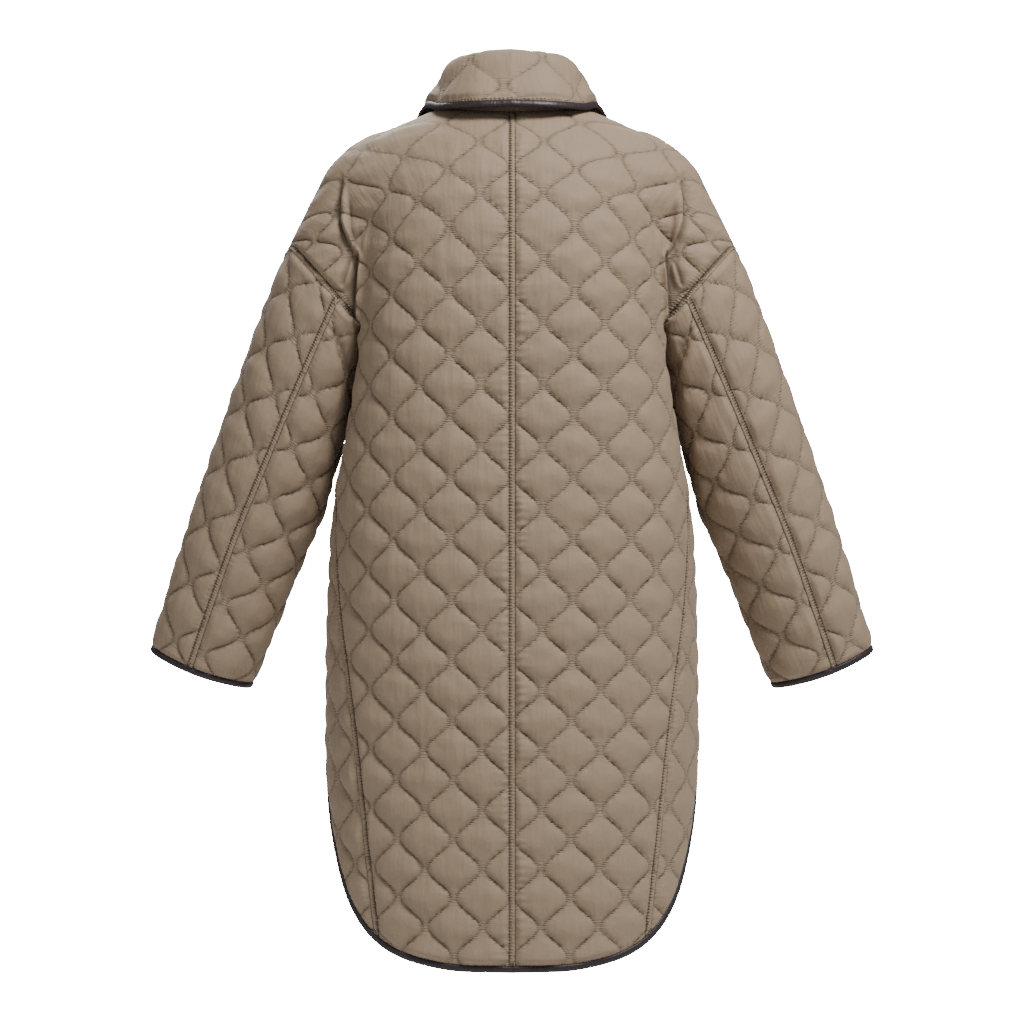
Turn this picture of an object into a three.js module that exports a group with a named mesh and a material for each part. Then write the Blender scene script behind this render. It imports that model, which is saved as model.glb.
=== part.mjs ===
// A long quilted jacket in onion quilting, filled out as it is worn: two centre backs, two side backs,
// two lapping fronts, two-piece sleeves, a folded collar, bound edges and press studs.
// Millimetres. +Z is up, the fronts face -Y, and the origin is the middle of the neck at nape height.
import * as THREE from "three";

// Driving sizes
const wall = 3; // cloth from its plain inside to the stitch lines
const puff = 6.5; // how far a quilted cell stands above its stitch lines
const seamInset = 0.2; // each side of a seam keeps this far from the seam line
const bindWidth = 8;
const bindThick = 5;
const bindGap = 0.3; // from the cut cloth to its binding
const slitGap = 0.8; // from a bound slit edge to the side line
const lap = 28; // each front reaches this far past the centre front
const lapLift = 6; // the upper front rises and the lower one sinks by this much
const lapFade = 75; // over which the lift dies out
const joinDepth = 79; // flat depth of the row that meets the armhole's top
const underarmDepth = 245; // flat depth of the underarm
const slitDepth = 727; // nape to the top of the side slits
const hemReach = 1030; // the form is laid out this far down
const cellSize = 71.5; // quilting repeat at the depth of a row of bulges on the centre back
const cellDepth = 104;
const cellShrink = 0.0079; // the repeat's loss for each millimetre further down
const sleeveCell = 69;
const crest = 0.8; // roundness of a cell: 1 falls evenly to its stitch lines, less stays full for longer
const touchGap = 14; // room between the hanging sleeve and the side of the body
const armholePoint = [257, -152]; // x, z of the armhole's top
const armholeNormal = [0.756, -0.655]; // x, z, towards the cuff
const armTop = [158, -100]; // x, z of the shoulder joint
const armWay = [0.348, -0.9375]; // x, z along the hanging arm
const armLength = 581; // shoulder joint to cuff
const armForward = 42; // how far forward the cuff hangs
const backSeamAngle = 9; // of the sleeve's hind seam, from straight back towards the outside, in degrees
const frontSeamAngle = 215; // of the sleeve's front seam
const edgeStep = 18; // between points along a cut edge
const neckSteps = 9; // of each panel's share of the neck edge
const neckHalf = 86; // the neck opening seen from above: half width, and reach to the back and front
const neckBack = 62;
const neckFront = 105;
const studDepths = [104, 246, 385, 523, 658]; // flat depths of the press studs on the centre front
const studRadius = 7.5;
const studHeight = 3.2;

// The body's form: one row for each height, half width and depths to the back and front
const bodyTable = [
  { z: -1020, half: 215, back: 154, front: 157, power: 2.3 },
  { z: -742, half: 215, back: 152, front: 155, power: 2.3 },
  { z: -640, half: 214, back: 150, front: 153, power: 2.3 },
  { z: -560, half: 212, back: 149, front: 151, power: 2.35 },
  { z: -440, half: 205, back: 146, front: 147, power: 2.5 },
  { z: -335, half: 189, back: 142, front: 143, power: 2.7 },
  { z: -242, half: 180, back: 138, front: 138, power: 2.7 },
  { z: -170, half: 177, back: 133, front: 128, power: 2.6 },
  { z: -100, half: 175, back: 120, front: 110, power: 2.4 },
  { z: -60, half: 170, back: 106, front: 94, power: 2.25 },
  { z: -35, half: 160, back: 92, front: 81, power: 2.15 },
  { z: -21, half: 147, back: 82, front: 72, power: 2.1 },
  { z: -8, half: 123, back: 70, front: 62, power: 2.05 },
  { z: 4, half: 96, back: 58, front: 52, power: 2 },
  { z: 16, half: 72, back: 44, front: 40, power: 2 },
  { z: 26, half: 44, back: 28, front: 26, power: 2 },
];

// The sleeve's form: one row for each distance from the shoulder joint
const armTable = [
  { t: 0, half: 68, depth: 60, shift: 0 },
  { t: 100, half: 77, depth: 64, shift: 1 },
  { t: 200, half: 77, depth: 64, shift: 2.5 },
  { t: 340, half: 73.5, depth: 58, shift: 5 },
  { t: 415, half: 69.5, depth: 54, shift: 7 },
  { t: 488, half: 67, depth: 50, shift: 6.5 },
  { t: 581, half: 63, depth: 45, shift: 5.5 },
];

// How far the shoulder line has dropped at each distance from the centre
const dropTable = [
  { x: 0, drop: 0 },
  { x: 80, drop: 0 },
  { x: 108, drop: 5 },
  { x: 145, drop: 21 },
  { x: 192, drop: 44 },
  { x: 213, drop: 67 },
  { x: 239, drop: 114 },
  { x: 262, drop: 160 },
  { x: 300, drop: 254 },
];

// Width of the side back panel, from the side seam to the side back seam
const sideBackTable = [
  { depth: 245, width: 20 },
  { depth: 440, width: 40 },
  { depth: 538, width: 61 },
  { depth: 699, width: 101 },
  { depth: 823, width: 121 },
  { depth: 1010, width: 148 },
];

// The finished hem of a back or a front, from its middle round to the top of the side slit
const hemTable = [
  { at: 0, u: 0, depth: 974 },
  { at: 1, u: 78, depth: 971 },
  { at: 2, u: 147, depth: 952 },
  { at: 3, u: 198, depth: 910 },
  { at: 4, u: 237, depth: 845 },
  { at: 5, u: 268, depth: 785 },
  { at: 6, u: 297, depth: 727 },
];

// The collar: the fold and the leaf's edge for each angle round the neck from the centre back
const collarTable = [
  { angle: 0, foldX: 0, foldY: 50, foldZ: 68, edgeX: 0, edgeY: 84, edgeZ: 3 },
  { angle: 30, foldX: 36, foldY: 44, foldZ: 67, edgeX: 46, edgeY: 78, edgeZ: 2 },
  { angle: 60, foldX: 60, foldY: 25, foldZ: 62, edgeX: 82, edgeY: 48, edgeZ: 3 },
  { angle: 90, foldX: 69, foldY: -4, foldZ: 54, edgeX: 101, edgeY: 0, edgeZ: 9 },
  { angle: 120, foldX: 67, foldY: -38, foldZ: 34, edgeX: 112, edgeY: -56, edgeZ: -12 },
  { angle: 150, foldX: 46, foldY: -72, foldZ: 0, edgeX: 97, edgeY: -108, edgeZ: -72 },
  { angle: 180, foldX: 20, foldY: -97, foldZ: -44, edgeX: 66, edgeY: -128, edgeZ: -128 },
];

const smooth = (t) => {
  const c = Math.min(1, Math.max(0, t));
  return c * c * (3 - 2 * c);
};
const mix = (a, b, t) => a + (b - a) * t;
const radians = THREE.MathUtils.degToRad;

// A smooth curve through one column of a table
function read(table, key, column, at) {
  const last = table.length - 1;
  let i = 0;
  while (i < last - 1 && table[i + 1][key] < at) i++;
  const knot = (k) => table[Math.min(last, Math.max(0, k))];
  const slope = (k) => {
    const before = knot(k - 1);
    const after = knot(k + 1);
    return (after[column] - before[column]) / (after[key] - before[key]);
  };
  const a = table[i];
  const b = table[i + 1];
  const span = b[key] - a[key];
  const t = Math.min(1, Math.max(0, (at - a[key]) / span));
  const bend = t * (1 - t) * ((1 - t) * slope(i) - t * slope(i + 1));
  return mix(a[column], b[column], t * t * (3 - 2 * t)) + span * bend;
}

// Signed distance to an oval, along the ray from its middle
function bodyDistance(p) {
  const half = read(bodyTable, "z", "half", p.z);
  const depth = read(bodyTable, "z", p.y > 0 ? "back" : "front", p.z);
  const power = read(bodyTable, "z", "power", p.z);
  const r = Math.hypot(p.x, p.y);
  const sum = Math.pow(Math.abs(p.x) / half, power) + Math.pow(Math.abs(p.y) / depth, power);
  return r - r / Math.max(Math.pow(sum, 1 / power), 1e-6);
}

// Places round the hanging arm: how far down it, and how far out and back from its middle
const armForwardAt = (t) => -armForward * Math.pow(Math.max(0, t) / armLength, 2);
function armCoords(p) {
  const x = p.x - armTop[0];
  const z = p.z - armTop[1];
  const t = x * armWay[0] + z * armWay[1];
  const out = -x * armWay[1] + z * armWay[0] - read(armTable, "t", "shift", t);
  return { t, out, back: p.y - armForwardAt(t) };
}
function armDistance(p) {
  const { t, out, back } = armCoords(p);
  const half = read(armTable, "t", "half", t);
  const depth = read(armTable, "t", "depth", t);
  const above = Math.min(t, 0);
  const r = Math.hypot(out, back, above);
  return r - r / Math.max(Math.hypot(out / half, back / depth, above / half), 1e-6);
}

function softMin(a, b, k) {
  const h = Math.max(k - Math.abs(a - b), 0) / k;
  return Math.min(a, b) - (h * h * k) / 4;
}
const softMax = (a, b, k) => -softMin(-a, -b, k);

// Body and sleeve run together at the shoulder and part in a crease at the underarm
const creaseSoftness = (z) => mix(14, 46, smooth((z + 150) / 110));
const room = (z) => mix(3.6, touchGap, smooth((-250 - z) / 70));
const sleeveRoom = (z) => room(z) - 22 * smooth((z + 244) / 10);
function shoulderForm(p) {
  return softMin(bodyDistance(p), armDistance(p), creaseSoftness(p.z));
}
function bodyForm(p) {
  const body = bodyDistance(p);
  const arm = armDistance(p);
  return softMax(softMin(body, arm, 14), body - arm + room(p.z), 10);
}
function sleeveForm(p) {
  const body = bodyDistance(p);
  const arm = armDistance(p);
  return softMax(softMin(body, arm, creaseSoftness(p.z)), arm - body + sleeveRoom(p.z), 6);
}
const armholeSide = (p) =>
  (p.x - armholePoint[0]) * armholeNormal[0] + (p.z - armholePoint[1]) * armholeNormal[1];

function slopeOf(field, p) {
  const h = 0.4;
  const q = p.clone();
  const g = new THREE.Vector3();
  for (const axis of ["x", "y", "z"]) {
    q[axis] = p[axis] + h;
    const high = field(q);
    q[axis] = p[axis] - h;
    g[axis] = (high - field(q)) / (2 * h);
    q[axis] = p[axis];
  }
  return g;
}

// Flat depth below the nape of a point on the form. Rows of cloth follow the sloping shoulder near the
// top and hang level from the underarm down.
function depthAt(p) {
  const fade = 1 - smooth(-p.z / 250);
  const middle = read(bodyTable, "z", p.y > 0 ? "back" : "front", p.z);
  return -p.z - read(dropTable, "x", "drop", Math.abs(p.x)) * fade + 0.5 * fade * (Math.abs(p.y) - middle);
}

// Brings a point back to the form and, where one is given, to a row
function settle(field, p, depth) {
  for (let i = 0; i < 3; i++) {
    const f = field(p);
    const a = slopeOf(field, p);
    if (depth === null) {
      p.addScaledVector(a, -f / a.lengthSq());
      continue;
    }
    const g = depthAt(p) - depth;
    const b = slopeOf(depthAt, p);
    const ab = a.dot(b);
    const det = a.lengthSq() * b.lengthSq() - ab * ab || 1e-9;
    p.addScaledVector(a, -(f * b.lengthSq() - g * ab) / det);
    p.addScaledVector(b, -(g * a.lengthSq() - f * ab) / det);
  }
  return { a: slopeOf(field, p), b: slopeOf(depthAt, p) };
}

// Walks the form a fixed stride at a time: along a row to the side, or up a column over the shoulder
const stride = 6;
function walk(field, start, depth, side, steps) {
  const p = start.clone();
  const points = [];
  for (let i = 0; i < steps; i++) {
    const { a, b } = settle(field, p, depth);
    points.push({ p: p.clone(), n: a.clone().normalize() });
    if (p.y * side < -45) break;
    const way = new THREE.Vector3().crossVectors(b, a).multiplyScalar(side);
    if (depth === null) {
      const slope = (read(dropTable, "x", "drop", p.x + 4) - read(dropTable, "x", "drop", p.x)) / 4;
      way.set(slope, -side, 1).projectOnPlane(a.normalize());
    }
    p.addScaledVector(way.normalize(), stride);
  }
  return points;
}

function between(points, at) {
  const i = Math.min(points.length - 2, Math.max(0, Math.floor(at)));
  const t = Math.min(2, at - i);
  const [a, b] = [points[i], points[i + 1]];
  return { p: a.p.clone().lerp(b.p, t), n: a.n.clone().lerp(b.n, t).normalize() };
}
function blend(a, b, t) {
  return { p: a.p.clone().lerp(b.p, t), n: a.n.clone().lerp(b.n, t).normalize() };
}

// The cloth of one half of the body laid flat: u runs round from the centre line, depth runs down
function layOut(side) {
  const start = (z) => {
    const y = side * read(bodyTable, "z", side > 0 ? "back" : "front", z);
    return new THREE.Vector3(0, y, z);
  };
  const depths = [];
  for (let d = joinDepth; d < underarmDepth - 12; d += 9) depths.push(d);
  const lower = depths.length;
  for (let d = underarmDepth; d < hemReach; d += d < 340 ? 9 : 22) depths.push(d);
  const rows = depths.map((d, i) =>
    walk(i < lower ? shoulderForm : bodyForm, start(-d), d, side, 80),
  );
  const columns = rows[0].map(({ p }) => walk(shoulderForm, p, null, side, 34));
  const at = (u, depth) => {
    if (u < 0) {
      const mirrored = at(-u, depth);
      mirrored.p.x *= -1;
      mirrored.n.x *= -1;
      return mirrored;
    }
    if (depth < joinDepth) {
      const i = Math.min(columns.length - 2, Math.floor(u / stride));
      const up = (joinDepth - depth) / stride;
      return blend(between(columns[i], up), between(columns[i + 1], up), u / stride - i);
    }
    let i = 0;
    while (i < rows.length - 2 && depths[i + 1] <= depth) i++;
    const t = (depth - depths[i]) / (depths[i + 1] - depths[i]);
    return blend(between(rows[i], u / stride), between(rows[i + 1], u / stride), t);
  };
  return at;
}

// Where a value changes sign between two places
function crossing(test, low, high) {
  const sign = test(low) > 0;
  for (let i = 0; i < 24; i++) {
    const mid = (low + high) / 2;
    if (test(mid) > 0 === sign) low = mid;
    else high = mid;
  }
  return (low + high) / 2;
}

// The quilting repeat shrinks a little from neck to hem, so its rows are counted by a logarithm
const cellAt = (depth) => cellSize - cellShrink * (depth - cellDepth);
const rowNumber = (depth) => -Math.log(cellAt(depth) / cellSize) / cellShrink;
const rowDepth = (number) => cellDepth + (cellSize / cellShrink) * (1 - Math.exp(-cellShrink * number));

// How high the quilting stands, 0 on the stitch lines to 1 in the middle of a cell
function quiltHeight(across, down) {
  const cell = (offset) => {
    const a = across - offset - Math.round(across - offset);
    const b = down - offset - Math.round(down - offset);
    return 1 - 2 * (Math.abs(a) + Math.abs(b));
  };
  return Math.pow(Math.max(0, cell(0), cell(0.5)), crest);
}

const bodyQuilt = (shift) => ({
  height: (u, v) => quiltHeight((u - shift) / cellAt(v), rowNumber(v)),
  down: (k) => rowDepth(k / 2),
  across: (p, v) => shift + (p / 2) * cellAt(v),
  first: (v) => Math.floor(2 * rowNumber(v)),
});
const sleeveQuilt = {
  height: (u, v) => quiltHeight(u / sleeveCell, v / sleeveCell),
  down: (k) => (k / 2) * sleeveCell,
  across: (p) => (p / 2) * sleeveCell,
  first: (v) => Math.floor((2 * v) / sleeveCell),
};

function distanceToEdge(outline, u, v) {
  let best = Infinity;
  let inside = false;
  for (let i = 0; i < outline.length; i++) {
    const a = outline[i];
    const b = outline[(i + 1) % outline.length];
    const du = b.u - a.u;
    const dv = b.v - a.v;
    const t = Math.min(1, Math.max(0, ((u - a.u) * du + (v - a.v) * dv) / (du * du + dv * dv || 1)));
    best = Math.min(best, Math.hypot(a.u + du * t - u, a.v + dv * t - v));
    if (a.v > v !== b.v > v && u < a.u + (du * (v - a.v)) / dv) inside = !inside;
  }
  return inside ? best : -best;
}

// Triangles between flat points, those of a cell running from its middle to its corners
function triangulate(points) {
  const lift = points.map((p) => p.u * p.u + p.v * p.v - p.weight);
  const all = [...points, { u: -9000, v: -9000 }, { u: 12000, v: -9000 }, { u: 0, v: 14000 }];
  for (const p of all.slice(-3)) lift.push(p.u * p.u + p.v * p.v);
  const n = points.length;
  let faces = [[n, n + 1, n + 2]];
  for (let i = 0; i < n; i++) {
    const reach = ([a, b, c]) => {
      const rows = [a, b, c].map((k) => [all[k].u - all[i].u, all[k].v - all[i].v, lift[k] - lift[i]]);
      const offset = 2 * all[i].u;
      const rise = 2 * all[i].v;
      for (const row of rows) row[2] -= offset * row[0] + rise * row[1];
      const [p, q, r] = rows;
      return (
        p[0] * (q[1] * r[2] - q[2] * r[1]) -
        p[1] * (q[0] * r[2] - q[2] * r[0]) +
        p[2] * (q[0] * r[1] - q[1] * r[0])
      );
    };
    const hole = faces.filter((face) => reach(face) > 0);
    const rim = new Map();
    for (const [a, b, c] of hole) {
      for (const [s, e] of [
        [a, b],
        [b, c],
        [c, a],
      ]) {
        if (rim.has(`${e} ${s}`)) rim.delete(`${e} ${s}`);
        else rim.set(`${s} ${e}`, [s, e]);
      }
    }
    const gone = new Set(hole);
    faces = faces.filter((face) => !gone.has(face));
    for (const [s, e] of rim.values()) faces.push([s, e, i]);
  }
  return faces.filter((face) => Math.max(...face) < n);
}

// A geometry from points and faces, turned so that its faces point out
function solid(points, faces) {
  const used = [...new Set(faces.flat())].sort((a, b) => a - b);
  const renumbered = new Map(used.map((old, i) => [old, i]));
  const kept = used.map((old) => points[old]);
  const index = faces.flat().map((old) => renumbered.get(old));
  let volume = 0;
  for (let i = 0; i < index.length; i += 3) {
    const [a, b, c] = index.slice(i, i + 3).map((k) => kept[k]);
    volume += a.dot(new THREE.Vector3().crossVectors(b, c));
  }
  if (volume < 0) index.reverse();
  const geometry = new THREE.BufferGeometry().setFromPoints(kept);
  geometry.setIndex(index);
  geometry.computeVertexNormals();
  return geometry;
}

// Closes two like skins round their open edges
function closeSkins(outer, inner, faces) {
  const count = outer.length;
  const edges = new Map();
  const all = [];
  for (const [a, b, c] of faces) {
    all.push([a, b, c], [a + count, c + count, b + count]);
    edges.set(`${a} ${b}`, [a, b]);
    edges.set(`${b} ${c}`, [b, c]);
    edges.set(`${c} ${a}`, [c, a]);
  }
  for (const [key, [s, e]] of edges) {
    if (edges.has(key.split(" ").reverse().join(" "))) continue;
    all.push([e, s, s + count], [e, s + count, e + count]);
  }
  return solid([...outer, ...inner], all);
}

// A quilted panel from its flat outline: plain inside, raised outside
const edgeRoom = 9;
const besideSeam = 10;
function quiltedPanel(outline, place, quilt, limit = () => puff) {
  const points = outline.map((spot) => ({ ...spot, weight: 0, edge: true }));
  const top = Math.min(...outline.map((o) => o.v));
  const bottom = Math.max(...outline.map((o) => o.v));
  const left = Math.min(...outline.map((o) => o.u));
  const right = Math.max(...outline.map((o) => o.u));
  const add = (u, v, weight) => points.push({ u, v, weight, height: quilt.height(u, v) });
  for (let k = quilt.first(top); quilt.down(k) < bottom; k++) {
    const v = quilt.down(k);
    for (let p = -12; p < 14; p++) {
      const u = quilt.across(p, v);
      if (u < left || u > right || distanceToEdge(outline, u, v) < edgeRoom) continue;
      add(u, v, (p + k) % 2 === 0 ? 0 : 60);
    }
  }
  const lattice = points.filter((p) => !p.edge);
  for (let i = 0; i < outline.length; i++) {
    const a = outline[(i + outline.length - 1) % outline.length];
    const b = outline[(i + 1) % outline.length];
    const length = Math.hypot(b.u - a.u, b.v - a.v);
    for (const turn of [1, -1]) {
      const u = outline[i].u - (turn * besideSeam * (b.v - a.v)) / length;
      const v = outline[i].v + (turn * besideSeam * (b.u - a.u)) / length;
      const clear = points.every((p) => p.edge || Math.hypot(p.u - u, p.v - v) > 12);
      const within = distanceToEdge(outline, u, v) > besideSeam * 0.8;
      if (within && clear && lattice.length && quilt.height(u, v) > 0.4) add(u, v, 0);
    }
  }
  const laid = points.map((p, i) => ({
    u: p.u + 0.003 * Math.sin(i * 7.13),
    v: p.v + 0.003 * Math.cos(i * 4.71),
    weight: p.weight,
  }));
  const faces = triangulate(laid).filter(([a, b, c]) => {
    const u = (points[a].u + points[b].u + points[c].u) / 3;
    const v = (points[a].v + points[b].v + points[c].v) / 3;
    return distanceToEdge(outline, u, v) > 0.02;
  });
  const outer = [];
  const inner = [];
  for (const point of points) {
    const { p, n } = point.fixed ?? place(point.u, point.v);
    const lift = point.edge ? 0 : Math.min(puff, limit(p)) * point.height;
    outer.push(p.clone().addScaledVector(n, lift));
    inner.push(p.clone().addScaledVector(n, -wall));
  }
  return closeSkins(outer, inner, faces);
}

// Evenly spread values from one to another, both ends kept
function spread(from, to, step = edgeStep) {
  const count = Math.max(1, Math.round(Math.abs(to - from) / step));
  return Array.from({ length: count + 1 }, (_, i) => mix(from, to, i / count));
}

// Where a point of the form lies on the flat cloth
function flatten(at, target, u, v) {
  for (let i = 0; i < 12; i++) {
    const { p } = at(u, v);
    const across = at(u + 1, v).p.sub(p);
    const down = at(u, v + 1).p.sub(p);
    const miss = target.clone().sub(p);
    const cross = across.dot(down);
    const det = across.lengthSq() * down.lengthSq() - cross * cross;
    u += (miss.dot(across) * down.lengthSq() - miss.dot(down) * cross) / det;
    v += (miss.dot(down) * across.lengthSq() - miss.dot(across) * cross) / det;
  }
  return { u, v };
}

// The cut edges of one half of the body
const cutBack = bindWidth + bindGap;
function halfBody(side) {
  const at = layOut(side);
  const sideLine = (v) => crossing((u) => at(u, v).p.y * side, 150, 340);
  const armhole = (v) => crossing((u) => armholeSide(at(u, v).p), 120, 310);
  const shoulder = (u) => crossing((v) => at(u, v).p.y * side, joinDepth + 6, joinDepth - 190);
  const neckPoint = crossing((u) => at(u, shoulder(u)).p.x - neckHalf, 60, 130);
  // The neck edge, from the shoulder seam at 90 degrees to the centre line at none and past it
  const neck = (degrees) => {
    const x = neckHalf * Math.abs(Math.sin(radians(degrees)));
    const y = side * (side > 0 ? neckBack : neckFront) * Math.cos(radians(degrees));
    const z = crossing((height) => shoulderForm(new THREE.Vector3(x, y, height)), -140, 25);
    const spot = flatten(at, new THREE.Vector3(x, y, z), x, -z);
    return { u: degrees < 0 ? -spot.u : spot.u, v: spot.v };
  };
  const joinEnd = sideLine(joinDepth);
  const hem = (s) => {
    const ahead = Math.min(6, s + 0.02);
    const behind = Math.max(0, s - 0.02);
    const du = read(hemTable, "at", "u", ahead) - read(hemTable, "at", "u", behind);
    const dv = read(hemTable, "at", "depth", ahead) - read(hemTable, "at", "depth", behind);
    const length = Math.hypot(du, dv);
    return {
      u: read(hemTable, "at", "u", s) + (cutBack * dv) / length,
      v: read(hemTable, "at", "depth", s) - (cutBack * du) / length,
    };
  };
  return { at, side, sideLine, armhole, shoulder, neck, neckPoint, joinEnd, hem };
}

const flat = (u, v, fixed) => ({ u, v, fixed });
const sideBackSeam = (half, v) => half.sideLine(v) - read(sideBackTable, "depth", "width", v);

// Top edges shared by backs and fronts: underarm, armhole, shoulder and neck, ending at the middle
function upperOutline(half, neckEnd) {
  const { side } = half;
  const edge = [];
  const levelShoulder = (spot) => {
    spot.fixed.p.y = side * seamInset;
    spot.fixed.n.y = 0;
    spot.fixed.n.normalize();
    return spot;
  };
  const shoulderSpot = (u) => {
    const v = half.shoulder(u);
    return levelShoulder({ u, v, fixed: half.at(u, v), kind: "shoulder" });
  };
  for (const v of spread(underarmDepth - 16, joinDepth + 12, 15)) {
    const u = half.armhole(v) - seamInset;
    edge.push({ u, v, fixed: half.at(u, v), kind: "armhole" });
  }
  const tip = shoulderSpot(half.joinEnd - 1.5);
  tip.kind = "armhole";
  edge.push(tip);
  for (const u of spread(half.joinEnd, half.neckPoint, 20).slice(1, -1)) edge.push(shoulderSpot(u));
  const corner = shoulderSpot(half.neckPoint);
  corner.kind = "neck";
  edge.push(corner);
  const neckAt = (spot) => edge.push({ ...spot, fixed: half.at(spot.u, spot.v), kind: "neck" });
  for (const degrees of spread(90, 0, 90 / neckSteps).slice(1, -1)) neckAt(half.neck(degrees));
  const centre = half.neck(0.1);
  if (neckEnd > 0) neckAt({ u: neckEnd, v: centre.v });
  else for (const degrees of [0.1, neckEnd / 2, neckEnd]) neckAt({ ...centre, u: degrees });
  return edge;
}

function underarmEdge(half, from, to) {
  const v = underarmDepth + seamInset;
  return spread(from, to, 14).map((u) => ({ u, v, fixed: half.at(u, v), kind: "underarm" }));
}
const valley = (half) => half.armhole(underarmDepth - 16) - 9;

function material(colour, roughness) {
  return new THREE.MeshStandardMaterial({ color: colour, roughness, metalness: 0 });
}
const cloth = () => material(0x8f7f6c, 0.85);
const leather = () => material(0x2b2024, 0.45);
const jacket = new THREE.Group();
jacket.name = "quilted_jacket";
function addPiece(name, geometry, look) {
  const mesh = new THREE.Mesh(geometry, look);
  mesh.name = name;
  jacket.add(mesh);
}
function mirrored(geometry) {
  const twin = geometry.clone();
  twin.scale(-1, 1, 1);
  twin.index.array.reverse();
  twin.computeVertexNormals();
  return twin;
}
function addPair(name, geometry, look) {
  addPiece(`${name}_left`, geometry, look());
  addPiece(`${name}_right`, mirrored(geometry), look());
}

// Backs
const back = halfBody(1);
const hemMeets = crossing((s) => back.hem(s).u - sideBackSeam(back, back.hem(s).v), 0.5, 4);
const seamFoot = back.hem(hemMeets).v;
const hemEnd = 5.9; // just short of the slit's top in the table
const hemLine = (half, from, to) => spread(from, to, 0.28).map((s) => flat(half.hem(s).u, half.hem(s).v));
const backTop = upperOutline(back, seamInset);
const valleyBack = valley(back);
const centreLine = spread(backTop.at(-1).v, back.hem(0).v).slice(1, -1).map((v) => flat(seamInset, v));
const backSeamDepths = spread(seamFoot, underarmDepth + seamInset);
const backOutline = [
  ...centreLine,
  flat(seamInset, back.hem(0).v),
  ...hemLine(back, 0, hemMeets).slice(1, -1),
  ...backSeamDepths.map((v) => flat(sideBackSeam(back, v) - seamInset, v)),
  ...underarmEdge(back, sideBackSeam(back, underarmDepth) - seamInset, valleyBack).slice(1),
  ...backTop,
];
addPair("back", quiltedPanel(backOutline, back.at, bodyQuilt(0)), cloth);

const bodyLimit = (p) => (Math.abs(p.x) > 140 && p.z > -620 ? Math.max(0.3, (sleeveForm(p) - 4) / 2) : puff);
const slitEdge = (half) => {
  const end = half.sideLine(slitDepth);
  return [flat(end - cutBack - slitGap, slitDepth + 3), flat(end - seamInset, slitDepth)];
};
const sideSeamDepths = spread(slitDepth, underarmDepth + seamInset).slice(1);
const sideBackOutline = [
  ...backSeamDepths.toReversed().map((v) => flat(sideBackSeam(back, v) + seamInset, v)),
  ...hemLine(back, hemMeets, hemEnd).slice(1),
  ...slitEdge(back),
  ...sideSeamDepths.map((v) => flat(back.sideLine(v) - seamInset, v)),
  ...underarmEdge(back, back.sideLine(underarmDepth), sideBackSeam(back, underarmDepth)).slice(1, -1),
];
addPair("side_back", quiltedPanel(sideBackOutline, back.at, bodyQuilt(26), bodyLimit), cloth);

// Fronts, the wearer's right one over the left
const front = halfBody(-1);
const lapEdge = cutBack - lap;
function frontPieces(lift) {
  const place = (u, v) => {
    const spot = front.at(u, v);
    spot.p.addScaledVector(spot.n, lift * lapLift * (1 - smooth((u - 8) / lapFade)));
    return spot;
  };
  const top = upperOutline(front, lapEdge).map((spot) => {
    if (spot.kind !== "neck" || Math.abs(spot.fixed.p.y) < 1) return spot;
    return { ...spot, fixed: place(spot.u, spot.v) };
  });
  const valleyFront = valley(front);
  const outline = [
    ...spread(top.at(-1).v, front.hem(0).v, 20).slice(1).map((v) => flat(lapEdge, v)),
    ...hemLine(front, 0, hemEnd),
    ...slitEdge(front),
    ...sideSeamDepths.map((v) => flat(front.sideLine(v) - seamInset, v)),
    ...underarmEdge(front, front.sideLine(underarmDepth) - seamInset, valleyFront).slice(1),
    ...top,
  ];
  return { place, outline, geometry: quiltedPanel(outline, place, bodyQuilt(0), bodyLimit) };
}
const frontLeft = frontPieces(-1);
const frontRight = frontPieces(1);
addPiece("front_left", frontLeft.geometry, cloth());
addPiece("front_right", mirrored(frontRight.geometry), cloth());

// Sleeves: rows of the form between the armhole and the cuff, each panel laid flat about its middle
const rim = [
  ...upperOutline(back, seamInset).filter((spot) => spot.kind === "armhole"),
  ...upperOutline(front, seamInset).filter((spot) => spot.kind === "armhole").slice(0, -1).reverse(),
];
const underRim = [
  ...underarmEdge(front, valley(front), front.sideLine(underarmDepth) - 4),
  ...underarmEdge(back, back.sideLine(underarmDepth) - 4, valley(back)),
];
const turnOf = (p) => {
  const { out, back: behind } = armCoords(p);
  return (THREE.MathUtils.radToDeg(Math.atan2(out, behind)) - backSeamAngle + 720) % 360;
};
const ring = [...rim, ...underRim].map((spot) => {
  const { p, n } = spot.fixed;
  const across = new THREE.Vector3(armholeNormal[0], 0, armholeNormal[1]);
  across.addScaledVector(n, -across.dot(n)).normalize();
  const seam = p.clone().addScaledVector(across, 2 * seamInset);
  const fixed = spot.kind === "armhole" ? { p: seam, n } : undefined;
  return { turn: turnOf(p), t: armCoords(p).t, fixed };
});
ring.sort((a, b) => a.turn - b.turn);
function ringStart(turn) {
  const full = [...ring, { ...ring[0], turn: ring[0].turn + 360 }];
  const at = turn < ring[0].turn ? turn + 360 : turn;
  let i = 0;
  while (i < full.length - 2 && full[i + 1].turn < at) i++;
  return mix(full[i].t, full[i + 1].t, (at - full[i].turn) / (full[i + 1].turn - full[i].turn));
}
const cuffEnd = armLength - cutBack;
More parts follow.
